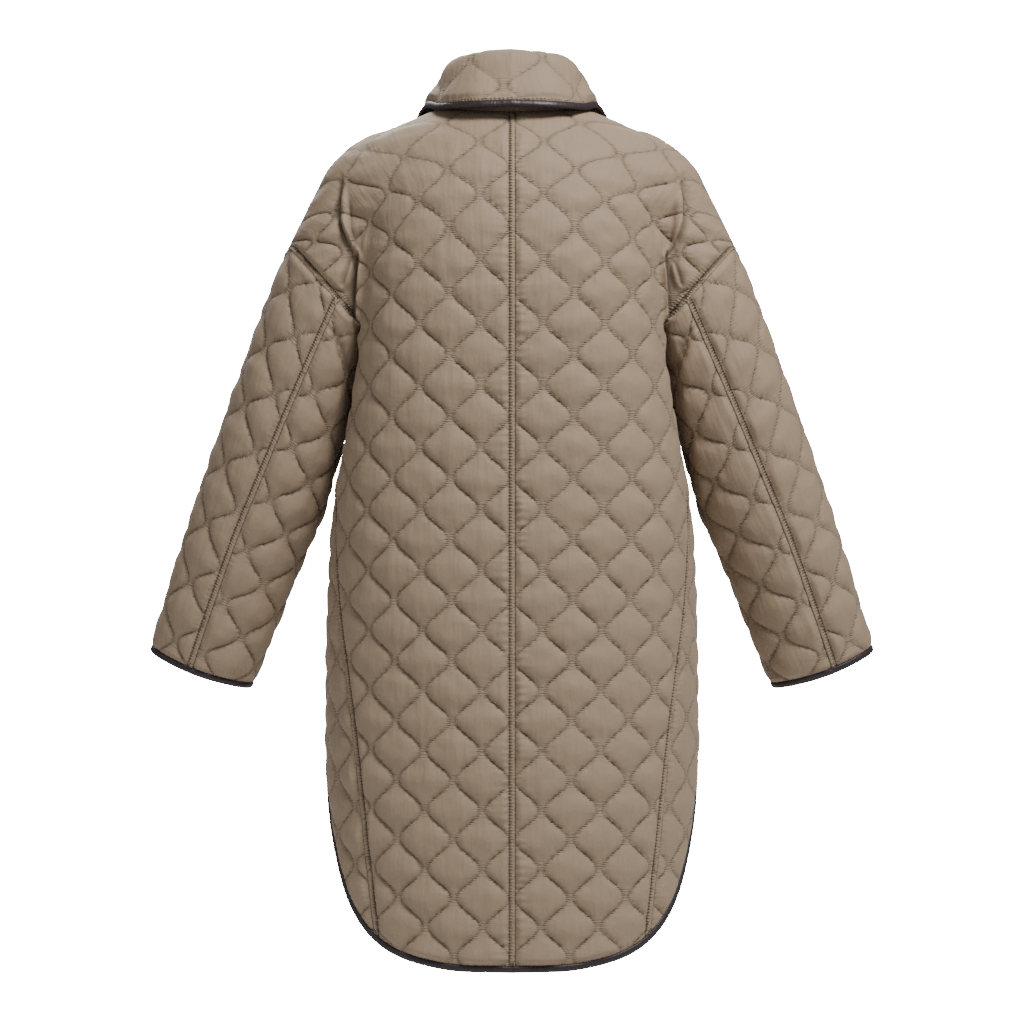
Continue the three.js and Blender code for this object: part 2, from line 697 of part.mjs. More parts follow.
function sleeveSpot(turn, t) {
  const angle = radians(turn + backSeamAngle);
  const shift = read(armTable, "t", "shift", t);
  const middle = new THREE.Vector3(
    armTop[0] + armWay[0] * t - armWay[1] * shift,
    armForwardAt(t),
    armTop[1] + armWay[1] * t + armWay[0] * shift,
  );
  const way = new THREE.Vector3(-armWay[1] * Math.sin(angle), Math.cos(angle), armWay[0] * Math.sin(angle));
  const r = crossing((far) => sleeveForm(middle.clone().addScaledVector(way, far)), 4, 130);
  const p = middle.addScaledVector(way, r);
  return { p, n: slopeOf(sleeveForm, p).normalize() };
}
const sleeveLength = 470;
function layOutSleeve(from, to) {
  const rows = spread(0, 1, 1 / 30).map((share) => {
    const startAt = (turn) => mix(ringStart(turn % 360), cuffEnd, share);
    const spots = spread(from, to, 3).map((turn) => sleeveSpot(turn, startAt(turn)));
    const reach = [0];
    for (let i = 1; i < spots.length; i++) reach.push(reach[i - 1] + spots[i].p.distanceTo(spots[i - 1].p));
    return { spots, reach };
  });
  const onRow = ({ spots, reach }, share) => {
    const target = share * reach.at(-1);
    let i = 0;
    while (i < reach.length - 2 && reach[i + 1] < target) i++;
    return blend(spots[i], spots[i + 1], (target - reach[i]) / (reach[i + 1] - reach[i]));
  };
  const rowAt = (v) => {
    const at = Math.min(29.999, Math.max(0, (v / sleeveLength) * 30));
    return { i: Math.floor(at), t: at - Math.floor(at) };
  };
  const width = (v) => {
    const { i, t } = rowAt(v);
    return mix(rows[i].reach.at(-1), rows[i + 1].reach.at(-1), t);
  };
  const at = (u, v) => {
    const { i, t } = rowAt(v);
    const share = 0.5 + u / width(v);
    return blend(onRow(rows[i], share), onRow(rows[i + 1], share), t);
  };
  const uAt = (turn) => {
    const k = ((turn - from) / (to - from)) * (rows[0].reach.length - 1);
    const i = Math.min(rows[0].reach.length - 2, Math.floor(k));
    return mix(rows[0].reach[i], rows[0].reach[i + 1], k - i) - rows[0].reach.at(-1) / 2;
  };
  return { at, width, uAt };
}
const sleeveLimit = (p) => Math.max(0.3, (bodyDistance(p) - armDistance(p) - 4) / 2);
function sleevePanel(from, to) {
  const sheet = layOutSleeve(from, to);
  const down = spread(0, sleeveLength).slice(1, -1);
  const seam = (sign) => (v) => flat(sign * (sheet.width(v) / 2 - seamInset), v);
  const armhole = ring
    .map((spot) => ({ ...spot, turn: spot.turn < from ? spot.turn + 360 : spot.turn }))
    .filter((spot) => spot.turn > from + 3 && spot.turn < to - 3)
    .sort((a, b) => a.turn - b.turn)
    .map((spot) => flat(sheet.uAt(spot.turn), 0, spot.fixed));
  const cuffHalf = sheet.width(sleeveLength) / 2 - seamInset;
  const outline = [
    seam(-1)(0),
    ...armhole,
    seam(1)(0),
    ...down.map(seam(1)),
    ...spread(cuffHalf, -cuffHalf).map((u) => flat(u, sleeveLength)),
    ...down.toReversed().map(seam(-1)),
  ];
  return quiltedPanel(outline, sheet.at, sleeveQuilt, sleeveLimit);
}
const frontTurn = frontSeamAngle - backSeamAngle;
addPair("sleeve_top", sleevePanel(0, frontTurn), cloth);
addPair("sleeve_under", sleevePanel(frontTurn, 360), cloth);

// Collar: one folded piece, standing up from the neck edge and falling over outwards
const flip = ({ p, n }) => ({
  p: new THREE.Vector3(-p.x, p.y, p.z),
  n: new THREE.Vector3(-n.x, n.y, n.z),
});
const necks = (outline, from) =>
  outline.filter((spot) => spot.kind === "neck" && spot.u > from).map((spot) => spot.fixed);
const halfNeck = (frontOutline) => [...necks(backTop, 1).reverse(), ...necks(frontOutline, 8).slice(1)];
const neckEdge = [
  ...halfNeck(frontRight.outline).reverse().map(flip),
  backTop.at(-1).fixed,
  ...halfNeck(frontLeft.outline),
];
const up = new THREE.Vector3(0, 0, 1);
const collarClear = puff + 2.4;
const collarPuff = 4;
const collarCell = 72;
const collarShift = 8; // a row of nodes on the leaf stands this far left of the middle
function collarColumn({ p, n }, arc) {
  const angle = Math.abs(THREE.MathUtils.radToDeg(Math.atan2(p.x, p.y)));
  const side = Math.sign(p.x) || 1;
  const at = (column) => read(collarTable, "angle", column, angle);
  const fold = new THREE.Vector3(side * at("foldX"), at("foldY"), at("foldZ"));
  const edge = new THREE.Vector3(side * at("edgeX"), at("edgeY"), at("edgeZ"));
  const away = edge.clone().sub(fold).setZ(0).normalize();
  const stand = fold.clone().sub(p).normalize();
  const leaf = edge.clone().sub(fold).normalize();
  const inward = away.clone().negate().addScaledVector(stand, away.dot(stand)).normalize();
  const outward = away.clone().addScaledVector(leaf, -away.dot(leaf)).normalize();
  const start = stand.clone().addScaledVector(n, -stand.dot(n)).normalize();
  const clear = (point, extra = 0) => {
    const need = collarClear + extra + (side < 0 && p.y < -60 ? lapLift : 0);
    for (let i = 0; i < 4; i++) {
      const short = need - shoulderForm(point);
      if (short > 0) point.addScaledVector(slopeOf(shoulderForm, point).normalize(), short);
    }
    return point;
  };
  const wave = 0.5 + 0.5 * Math.cos((2 * Math.PI * (arc - collarShift)) / collarCell);
  const lean = (a, b, share) => a.clone().multiplyScalar(1 - share).addScaledVector(b, share).normalize();
  const middle = clear(fold.clone().lerp(edge, 0.52).addScaledVector(outward, 1));
  const rest = clear(edge.clone(), 1.5);
  const fall = rest.clone().sub(middle).normalize();
  const turned = fold.clone().addScaledVector(away, 5).addScaledVector(leaf, 5);
  const edgeWay = outward.clone().addScaledVector(fall, -outward.dot(fall)).normalize();
  return [
    { base: p.clone().addScaledVector(start, 2 * seamInset), way: n.clone().negate(), lift: 0 },
    { base: p.clone().lerp(fold, 0.5), way: inward, lift: 0 },
    { base: fold.clone().addScaledVector(stand, -6), way: lean(inward, up, 0.3), lift: 0 },
    { base: fold.clone(), way: up.clone(), lift: collarPuff * 0.4 * wave },
    { base: turned, way: lean(outward, up, 0.4), lift: collarPuff * wave },
    { base: middle, way: outward, lift: collarPuff * (1 - wave) },
    { base: rest.addScaledVector(fall, -cutBack), way: edgeWay, lift: 0 },
  ];
}
let reached = 0;
const arcs = neckEdge.map(({ p }, i) => (reached += i ? p.distanceTo(neckEdge[i - 1].p) : 0));
const middleArc = arcs[(neckEdge.length - 1) / 2];
const collar = neckEdge.map((spot, i) => collarColumn(spot, arcs[i] - middleArc));
const collarRows = collar[0].length;
const collarFaces = [];
for (let i = 0; i + 1 < collar.length; i++)
  for (let k = 0; k + 1 < collarRows; k++) {
    const a = i * collarRows + k;
    collarFaces.push([a, a + collarRows, a + 1], [a + 1, a + collarRows, a + collarRows + 1]);
  }
const collarSpots = collar.flat();
const faceSide = collarSpots.map(({ base, way, lift }) => base.clone().addScaledVector(way, wall + lift));
addPiece("collar", closeSkins(faceSide, collarSpots.map(({ base }) => base), collarFaces), cloth());

// A binding: a closed section carried along a cut edge, just beyond the cloth
function boundEdge(path, outwardOf, closed = false) {
  const count = path.length;
  const spots = path.map(({ p, n }, i) => {
    const before = path[closed ? (i + count - 1) % count : Math.max(0, i - 1)].p;
    const after = path[closed ? (i + 1) % count : Math.min(count - 1, i + 1)].p;
    const sides = [p.clone().sub(before), after.clone().sub(p)]
      .filter((way) => way.lengthSq() > 1e-6)
      .map((way) => way.cross(n).normalize());
    const c = sides[0].clone().add(sides.at(-1)).normalize();
    c.multiplyScalar((Math.sign(c.dot(outwardOf(p))) || 1) / Math.max(0.6, c.dot(sides[0])));
    return { p, n, c };
  });
  const half = bindThick / 2;
  const section = [
    [bindGap, -half * 0.76],
    [bindWidth * 0.6, -half],
    [bindWidth, -half * 0.45],
    [bindWidth, half * 0.45],
    [bindWidth * 0.6, half],
    [bindGap, half * 0.76],
  ];
  const ringSize = section.length;
  const points = spots.flatMap(({ p, n, c }) =>
    section.map(([out, rise]) => p.clone().addScaledVector(c, out).addScaledVector(n, rise)),
  );
  const faces = [];
  for (let i = 0; i < (closed ? count : count - 1); i++)
    for (let k = 0; k < ringSize; k++) {
      const a = i * ringSize + k;
      const b = i * ringSize + ((k + 1) % ringSize);
      const c = (a + ringSize) % points.length;
      const d = (b + ringSize) % points.length;
      faces.push([a, b, c], [b, d, c]);
    }
  if (!closed)
    for (let k = 1; k + 1 < ringSize; k++) {
      const last = points.length - ringSize;
      faces.push([0, k + 1, k], [last, last + k, last + k + 1]);
    }
  return solid(points, faces);
}
const midCloth = ({ p, n }) => ({ p: p.clone().addScaledVector(n, -wall / 2), n });
const downward = () => new THREE.Vector3(0, 0, -1);

const leafEdge = ({ base, way }) => ({ p: base.clone().addScaledVector(way, wall / 2), n: way });
const leafRows = [collarRows - 3, collarRows - 2];
const leafPath = [
  ...leafRows.map((k) => leafEdge(collar[0][k])),
  ...collar.map((column) => leafEdge(column.at(-1))),
  ...leafRows.toReversed().map((k) => leafEdge(collar.at(-1)[k])),
];
const fromNeck = (p) => new THREE.Vector3(p.x * 0.3, p.y - 30, -60 - 0.5 * Math.abs(p.x));
addPiece("collar_binding", boundEdge(leafPath, fromNeck), leather());

const slitTop = (half) => ({ u: half.sideLine(slitDepth) - cutBack - slitGap, v: slitDepth + 3 });
const hemPath = (half, place, line) => [...line, slitTop(half)].map(({ u, v }) => midCloth(place(u, v)));
const backLine = [...hemLine(back, 0, hemMeets), ...hemLine(back, hemMeets, hemEnd).slice(1)];
const backHem = hemPath(back, back.at, backLine);
const wholeHem = [...backHem.slice(1).reverse().map(flip), ...backHem];
addPiece("hem_binding_back", boundEdge(wholeHem, downward), leather());
function frontBinding(pieces) {
  const top = pieces.outline.filter((spot) => spot.kind === "neck").at(-1).v + 1;
  const edge = spread(top, front.hem(0).v, 40).map((v) => midCloth(pieces.place(lapEdge, v)));
  const towards = (p) => new THREE.Vector3(p.x < 25 ? -1 : 0.2, 0, p.z < -930 ? -1 : -0.1);
  return boundEdge([...edge, ...hemPath(front, pieces.place, hemLine(front, 0, hemEnd))], towards);
}
addPiece("front_binding_left", frontBinding(frontLeft), leather());
addPiece("front_binding_right", mirrored(frontBinding(frontRight)), leather());

const cuffRing = [
  [0, frontTurn],
  [frontTurn, 360],
].flatMap(([from, to]) => {
  const sheet = layOutSleeve(from, to);
  const half = sheet.width(sleeveLength) / 2;
  return spread(-half, half).slice(0, -1).map((u) => midCloth(sheet.at(u, sleeveLength)));
});
const alongArm = () => new THREE.Vector3(armWay[0], -0.14, armWay[1]);
addPair("cuff_binding", boundEdge(cuffRing, alongArm, true), leather);

// Press studs on the upper front, each a low dome clear of the quilting
const studProfile = [
  [0, 0],
  [studRadius, 0],
  [studRadius, studHeight * 0.4],
  [studRadius * 0.75, studHeight * 0.85],
  [studRadius * 0.3, studHeight],
  [0, studHeight],
].map(([x, y]) => new THREE.Vector2(x, y));
studDepths.forEach((v, i) => {
  const { p, n } = flip(frontRight.place(0, v));
  const geometry = new THREE.LatheGeometry(studProfile, 20);
  geometry.applyQuaternion(new THREE.Quaternion().setFromUnitVectors(new THREE.Vector3(0, 1, 0), n));
  const seat = p.clone().addScaledVector(n, puff + bindGap);
  geometry.translate(seat.x, seat.y, seat.z);
  const look = new THREE.MeshStandardMaterial({ color: 0x3a3532, roughness: 0.4, metalness: 0.9 });
  addPiece(`stud_${i + 1}`, geometry, look);
});

export default jacket;
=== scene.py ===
import math
from types import SimpleNamespace

import bpy
import numpy as np
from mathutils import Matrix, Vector
from mathutils.geometry import delaunay_2d_cdt


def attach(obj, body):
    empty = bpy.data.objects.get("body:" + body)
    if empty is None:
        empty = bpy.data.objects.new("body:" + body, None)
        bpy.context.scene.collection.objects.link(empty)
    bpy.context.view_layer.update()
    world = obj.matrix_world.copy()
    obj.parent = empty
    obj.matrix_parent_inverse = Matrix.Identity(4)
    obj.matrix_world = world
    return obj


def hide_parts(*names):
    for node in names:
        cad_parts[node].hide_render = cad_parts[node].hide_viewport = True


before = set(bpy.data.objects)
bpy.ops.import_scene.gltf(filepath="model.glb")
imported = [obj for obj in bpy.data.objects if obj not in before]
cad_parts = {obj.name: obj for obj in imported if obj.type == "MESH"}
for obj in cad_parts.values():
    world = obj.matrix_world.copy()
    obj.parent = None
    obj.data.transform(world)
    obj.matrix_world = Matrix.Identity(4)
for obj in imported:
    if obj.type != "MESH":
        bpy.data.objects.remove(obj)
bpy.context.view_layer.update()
print("frame loaded:", len(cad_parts), "nodes")

# Camera first: level, straight from behind, 4 m away
cameraData = bpy.data.cameras.new("camera")
cameraData.lens = 121.0
cameraData.sensor_width = 36
camera = bpy.data.objects.new("camera", cameraData)
camera.location = (0.0, 4.0, -0.458)
camera.rotation_euler = (math.radians(90), 0, math.radians(180))
bpy.context.scene.collection.objects.link(camera)
bpy.context.scene.camera = camera

# Sizes of the cut and of its form, in millimetres
cut = {
    "wall": 3.0,  # cloth from its plain inside to its stitch lines
    "bindWidth": 8.0,
    "bindGap": 0.3,
    "slitGap": 0.8,
    "lap": 28.0,
    "lapLift": 6.0,
    "lapFade": 75.0,
    "joinDepth": 79.0,  # flat depth of the row that meets the armhole's top
    "underarmDepth": 245.0,
    "slitDepth": 727.0,
    "hemReach": 1030.0,
    "hemEnd": 5.9,
    "neckHalf": 86.0,
    "neckBack": 62.0,
    "neckFront": 105.0,
    "touchGap": 14.0,
    "armholePoint": (257.0, -152.0),
    "armholeNormal": (0.756, -0.655),
    "armTop": (158.0, -100.0),
    "armWay": (0.348, -0.9375),
    "armLength": 581.0,
    "armForward": 42.0,
    "backSeamAngle": 9.0,
    "frontSeamAngle": 215.0,
    "sleeveLength": 470.0,
}
cutBack = cut["bindWidth"] + cut["bindGap"]

# Height, half width, depth to the back, depth to the front, squareness
bodyRows = np.array([
    (-1020, 215, 154, 157, 2.3), (-742, 215, 152, 155, 2.3), (-640, 214, 150, 153, 2.3),
    (-560, 212, 149, 151, 2.35), (-440, 205, 146, 147, 2.5), (-335, 189, 142, 143, 2.7),
    (-242, 180, 138, 138, 2.7), (-170, 177, 133, 128, 2.6), (-100, 175, 120, 110, 2.4),
    (-60, 170, 106, 94, 2.25), (-35, 160, 92, 81, 2.15), (-21, 147, 82, 72, 2.1),
    (-8, 123, 70, 62, 2.05), (4, 96, 58, 52, 2), (16, 72, 44, 40, 2), (26, 44, 28, 26, 2),
])
# Distance down the arm, half width, half depth, shift outwards
armRows = np.array([
    (0, 68, 60, 0), (100, 77, 64, 1), (200, 77, 64, 2.5), (340, 73.5, 58, 5),
    (415, 69.5, 54, 7), (488, 67, 50, 6.5), (581, 63, 45, 5.5),
])
# Distance from the centre, drop of the shoulder line
dropRows = np.array([
    (0, 0), (80, 0), (108, 5), (145, 21), (192, 44), (213, 67), (239, 114), (262, 160), (300, 254),
])
# Depth, width of the side back panel
sideBackRows = np.array([(245, 20), (440, 40), (538, 61), (699, 101), (823, 121), (1010, 148)])
# Step round the hem, distance from the middle, depth
hemRows = np.array([
    (0, 0, 974), (1, 78, 971), (2, 147, 952), (3, 198, 910), (4, 237, 845), (5, 268, 785), (6, 297, 727),
])
# Angle round the neck, fold x y z, leaf edge x y z
collarRows = np.array([
    (0, 0, 50, 68, 0, 84, 3), (30, 36, 44, 67, 46, 78, 2), (60, 60, 25, 62, 82, 48, 3),
    (90, 69, -4, 54, 101, 0, 9), (120, 67, -38, 34, 112, -56, -12), (150, 46, -72, 0, 97, -108, -72),
    (180, 20, -97, -44, 66, -128, -128),
])


def ease(t):
    c = np.clip(t, 0, 1)
    return c * c * (3 - 2 * c)


def mix(a, b, t):
    return a + (b - a) * t


mirrorX = np.array([-1.0, 1, 1])


def unit(way):
    return way / np.maximum(np.linalg.norm(way, axis=-1, keepdims=True), 1e-9)


def dot(a, b):
    return (a * b).sum(-1)


def readCurve(rows, column, at):
    # smooth curve through one column, against the first
    keys, values = rows[:, 0], rows[:, column]
    last = len(keys) - 1
    at = np.asarray(at, float)
    i = np.searchsorted(keys[1:last], at, side="left")
    after = np.minimum(np.arange(last + 1) + 1, last)
    before = np.maximum(np.arange(last + 1) - 1, 0)
    slope = (values[after] - values[before]) / (keys[after] - keys[before])
    span = keys[i + 1] - keys[i]
    t = np.clip((at - keys[i]) / span, 0, 1)
    bend = t * (1 - t) * ((1 - t) * slope[i] - t * slope[i + 1])
    return mix(values[i], values[i + 1], t * t * (3 - 2 * t)) + span * bend


# The filled-out form: an oval body and a hanging sleeve that run together at the shoulder
def bodyDistance(p):
    x, y, z = p[..., 0], p[..., 1], p[..., 2]
    half = readCurve(bodyRows, 1, z)
    depth = np.where(y > 0, readCurve(bodyRows, 2, z), readCurve(bodyRows, 3, z))
    power = readCurve(bodyRows, 4, z)
    r = np.hypot(x, y)
    total = (np.abs(x) / half) ** power + (np.abs(y) / depth) ** power
    return r - r / np.maximum(total ** (1 / power), 1e-6)


def armForwardAt(t):
    return -cut["armForward"] * (np.maximum(0, t) / cut["armLength"]) ** 2


def armCoords(p):
    wayX, wayZ = cut["armWay"]
    x = p[..., 0] - cut["armTop"][0]
    z = p[..., 2] - cut["armTop"][1]
    t = x * wayX + z * wayZ
    out = -x * wayZ + z * wayX - readCurve(armRows, 3, t)
    return t, out, p[..., 1] - armForwardAt(t)


def armDistance(p):
    t, out, back = armCoords(p)
    half = readCurve(armRows, 1, t)
    depth = readCurve(armRows, 2, t)
    above = np.minimum(t, 0)
    r = np.sqrt(out ** 2 + back ** 2 + above ** 2)
    scaled = np.sqrt((out / half) ** 2 + (back / depth) ** 2 + (above / half) ** 2)
    return r - r / np.maximum(scaled, 1e-6)


def softMin(a, b, k):
    h = np.maximum(k - np.abs(a - b), 0) / k
    return np.minimum(a, b) - h * h * k / 4


def softMax(a, b, k):
    return -softMin(-a, -b, k)


def creaseSoftness(z):
    return mix(14, 46, ease((z + 150) / 110))


def room(z):
    return mix(3.6, cut["touchGap"], ease((-250 - z) / 70))


def shoulderForm(p):
    return softMin(bodyDistance(p), armDistance(p), creaseSoftness(p[..., 2]))


def bodyForm(p):
    body, arm = bodyDistance(p), armDistance(p)
    return softMax(softMin(body, arm, 14), body - arm + room(p[..., 2]), 10)


def sleeveForm(p):
    body, arm = bodyDistance(p), armDistance(p)
    z = p[..., 2]
    sleeveRoom = room(z) - 22 * ease((z + 244) / 10)
    return softMax(softMin(body, arm, creaseSoftness(z)), arm - body + sleeveRoom, 6)


def armholeSide(p):
    (px, pz), (nx, nz) = cut["armholePoint"], cut["armholeNormal"]
    return (p[..., 0] - px) * nx + (p[..., 2] - pz) * nz


def slopeOf(field, p):
    step = 0.4
    slope = np.empty_like(p)
    for axis in range(3):
        aside = np.zeros(3)
        aside[axis] = step
        slope[..., axis] = (field(p + aside) - field(p - aside)) / (2 * step)
    return slope


def depthAt(p):
    # flat depth below the nape: rows follow the sloping shoulder and hang level from the underarm down
    z = p[..., 2]
    fade = 1 - ease(-z / 250)
    middle = np.where(p[..., 1] > 0, readCurve(bodyRows, 2, z), readCurve(bodyRows, 3, z))
    drop = readCurve(dropRows, 1, np.abs(p[..., 0]))
    return -z - drop * fade + 0.5 * fade * (np.abs(p[..., 1]) - middle)


def settle(field, p, depth):
    for _ in range(3):
        f, a = field(p), slopeOf(field, p)
        aa = dot(a, a)
        if depth is None:
            p = p - a * (f / aa)[..., None]
            continue
        g, b = depthAt(p) - depth, slopeOf(depthAt, p)
        bb, ab = dot(b, b), dot(a, b)
        det = np.maximum(aa * bb - ab * ab, 1e-9)
        p = p - a * ((f * bb - g * ab) / det)[..., None] - b * ((g * aa - f * ab) / det)[..., None]
    return p, slopeOf(field, p), slopeOf(depthAt, p)


stride = 6.0


def walkForm(field, start, depth, side, steps):
    # all rows at once, a fixed stride at a time, along their rows or up over the shoulder
    p = start.copy()
    places, normals = [], []
    for _ in range(steps):
        p, a, b = settle(field, p, depth)
        n = unit(a)
        places.append(p)
        normals.append(n)
        if depth is None:
            x = p[:, 0]
            tilt = (readCurve(dropRows, 1, x + 4) - readCurve(dropRows, 1, x)) / 4
            way = np.stack([tilt, np.full_like(x, -side), np.ones_like(x)], -1)
            way = way - n * dot(way, n)[:, None]
        else:
            way = np.cross(b, a) * side
        p = p + unit(way) * stride
    return np.stack(places, 1), np.stack(normals, 1)


def lookUp(table, row, column):
    # a value between the points of a grid
    i = np.clip(row.astype(int), 0, table.shape[0] - 2)
    j = np.clip(column.astype(int), 0, table.shape[1] - 2)
    s, t = (row - i)[..., None], (column - j)[..., None]
    upper = table[i, j] * (1 - t) + table[i, j + 1] * t
    lower = table[i + 1, j] * (1 - t) + table[i + 1, j + 1] * t
    return upper * (1 - s) + lower * s


def crossing(test, low, high, rounds=24):
    low, high = np.asarray(low, float), np.asarray(high, float)
    low, high = low + 0 * high, high + 0 * low
    sign = test(low) > 0
    for _ in range(rounds):
        middle = (low + high) / 2
        same = (test(middle) > 0) == sign
        low, high = np.where(same, middle, low), np.where(same, high, middle)
    return (low + high) / 2


def layOutHalf(side):
    # the cloth of one half of the body laid flat: u runs round from the centre line, v runs down
    upRows, clearRows = 34, 28
    rowStep = (cut["underarmDepth"] - cut["joinDepth"]) / clearRows
    depths = np.arange(cut["joinDepth"], cut["hemReach"] + rowStep, rowStep)
    column = 2 if side > 0 else 3
    starts = np.stack([0 * depths, side * readCurve(bodyRows, column, -depths), -depths], -1)
    upper = walkForm(shoulderForm, starts[:clearRows], depths[:clearRows], side, 76)
    lower = walkForm(bodyForm, starts[clearRows:], depths[clearRows:], side, 76)
    over = walkForm(shoulderForm, upper[0][0], None, side, upRows)
    layers = []
    for k in range(2):
        last, first = upper[k][-2:-1], lower[k][:1]
        between = mix(last, first, 0.5)
        rising = np.swapaxes(over[k], 0, 1)[:0:-1]
        layers.append(np.concatenate([rising, upper[k][:-1], between, lower[k]], 0))
    places, normals = layers

    def at(u, v):
        u, v = np.broadcast_arrays(np.asarray(u, float), np.asarray(v, float))
        rise = (v - cut["joinDepth"]) / np.where(v < cut["joinDepth"], stride, rowStep)
        row, col = rise + upRows - 1, np.abs(u) / stride
        p, n = lookUp(places, row, col), unit(lookUp(normals, row, col))
        flip = np.where(u < 0, -1.0, 1.0)[..., None] * np.array([1.0, 0, 0]) + np.array([0, 1.0, 1.0])
        return p * flip, n * flip

    return at


def flatten(at, target, u, v):
    for _ in range(12):
        p = at(u, v)[0]
        across, down = at(u + 1, v)[0] - p, at(u, v + 1)[0] - p
        miss = target - p
        cross = dot(across, down)
        det = dot(across, across) * dot(down, down) - cross * cross
        du = (dot(miss, across) * dot(down, down) - dot(miss, down) * cross) / det
        v = v + (dot(miss, down) * dot(across, across) - dot(miss, across) * cross) / det
        u = u + du
    return u, v


def halfBody(side):
    at = layOutHalf(side)
    join = cut["joinDepth"]

    def behind(u, v):
        return at(u, v)[0][..., 1] * side

    def shoulder(u):
        return crossing(lambda v: behind(u, v), join + 6 + 0 * u, join - 190 + 0 * u)

    def pastNeck(u):
        return at(u, shoulder(u))[0][..., 0] - cut["neckHalf"]

    half = SimpleNamespace(at=at, shoulder=shoulder)
    half.sideLine = lambda v: crossing(lambda u: behind(u, v), 150 + 0 * v, 340 + 0 * v)
    half.armhole = lambda v: crossing(lambda u: armholeSide(at(u, v)[0]), 120 + 0 * v, 310 + 0 * v)
    half.neckPoint = float(crossing(pastNeck, 60.0, 130.0))
    half.joinEnd = float(half.sideLine(np.array(join)))

    def neck(degrees):
        angle = np.radians(degrees)
        x = cut["neckHalf"] * np.sin(angle)
        y = side * (cut["neckBack"] if side > 0 else cut["neckFront"]) * np.cos(angle)
        level = lambda z: shoulderForm(np.stack([x, y, z], -1))
        z = crossing(level, -140 + 0 * x, 25 + 0 * x)
        return flatten(at, np.stack([x, y, z], -1), x, -z)

    def hem(s):
        ahead, behind = np.minimum(6, s + 0.02), np.maximum(0, s - 0.02)
        du = readCurve(hemRows, 1, ahead) - readCurve(hemRows, 1, behind)
        dv = readCurve(hemRows, 2, ahead) - readCurve(hemRows, 2, behind)
        length = np.hypot(du, dv)
        u = readCurve(hemRows, 1, s) + cutBack * dv / length
        return u, readCurve(hemRows, 2, s) - cutBack * du / length

    half.neck, half.hem = neck, hem
    half.valley = float(half.armhole(np.array(cut["underarmDepth"] - 16.0))) - 9
    return half


back, front = halfBody(1), halfBody(-1)
print("form laid out")

# The onion quilting: pairs of wavy stitch lines that swell and pinch in turn
quilting = {
    "puff": 6.6,  # height of a full cell
    "cell": 71.5,
    "cellDepth": 104.0,
    "shrink": 0.0079,  # of the cells towards the hem
    "sleeveCell": 69.0,
    "channel": 0.25,  # mean half width of a channel, as a share of the repeat
    "sway": 0.2,  # of a stitch line, likewise
    "pinchHeight": 0.7,
    "dome": 0.54,
    "sideBackShift": 26.0,
    "highRow": (112, 34, 6),  # depth, reach and rise of a row that sits a little high
}


def cellAt(v):
    return quilting["cell"] - quilting["shrink"] * (v - quilting["cellDepth"])


def bodyCells(shift):
    depth, reach, rise = quilting["highRow"]

    def cells(u, v):
        cell = cellAt(v + rise * np.exp(-(((v - depth) / reach) ** 2)))
        return (u - shift) / cell, -np.log(cell / quilting["cell"]) / quilting["shrink"], cell

    return cells


def sleeveCells(u, v):
    return u / quilting["sleeveCell"], v / quilting["sleeveCell"], quilting["sleeveCell"] + 0 * v


def swayAt(down):
    # 1 at whole rows and -1 between them, in straight runs with rounded turns
    run = 1.42 * (1 - 4 * np.abs(down - np.round(down)))
    return 1.056 * run / (1 + np.abs(run) ** 4) ** (1 / 4)


def channelHalf(down, m):
    return quilting["channel"] + quilting["sway"] * swayAt(down + m / 2)


def onion(across, down):
    # distance from the middle of the channel, and its half width there, as shares of the repeat
    m = np.round(2 * across)
    aside = across - m / 2
    m = m + np.where(np.abs(aside) > channelHalf(down, m), np.sign(aside), 0)
    return np.abs(across - m / 2), channelHalf(down, m), m


def cellShape(off, half, cell):
    # share of the full height, millimetres to the stitch line, and how close the channel's neck is
    swell = (half / (quilting["channel"] + quilting["sway"])) ** quilting["pinchHeight"]
    dome = np.maximum(0, 1 - (off / half) ** 2) ** quilting["dome"]
    fromLine = np.maximum((half - off) * cell * 0.8, 0)
    return swell * dome, fromLine, ease((0.15 - half) / 0.09)


def quiltPuff(u, v, cells, seed):
    across, down, cell = cells(u, v)
    off, half, m = onion(across, down)
    shape, fromLine, neck = cellShape(off, half, cell)
    vary = 1 + 0.1 * np.sin(12.9 * m + 7.7 * np.round(down + m / 2) + seed)
    return quilting["puff"] * shape * vary, fromLine, neck


def stitchLineAt(k, v, cells):
    # u of the line between channels k and k + 1
    zero, down, cell = cells(0 * v, v)
    across = (k + 0.5) / 2 + quilting["sway"] * swayAt(down + k / 2)
    return (across - zero) * cell


def ripple(u, v, size, seed):
    # gentle seeded unevenness, about one high
    draw = np.random.default_rng(seed)
    total = 0
    for _ in range(7):
        angle, phase, scale = draw.uniform(0, np.pi), draw.uniform(0, 6.3), draw.uniform(0.75, 1.4)
        total = total + np.sin((u * np.cos(angle) + v * np.sin(angle)) * 2 * np.pi / (size * scale) + phase)
    return total / 3


def nearLine(spots, line):
    # distance to a flat line, and how far along it
    a, b = line[:-1], line[1:]
    way = b - a
    length = np.hypot(way[:, 0], way[:, 1])
    start = np.concatenate([[0], np.cumsum(length)[:-1]])
    best = np.full(len(spots), 1e9)
    along = np.zeros(len(spots))
    for i in range(len(a)):
        t = np.clip(((spots - a[i]) @ way[i]) / max(length[i] ** 2, 1e-9), 0, 1)
        gap = spots - a[i] - t[:, None] * way[i]
        d = np.hypot(gap[:, 0], gap[:, 1])
        closer = d < best
        best[closer] = d[closer]
        along[closer] = (start[i] + t * length[i])[closer]
    return best, along


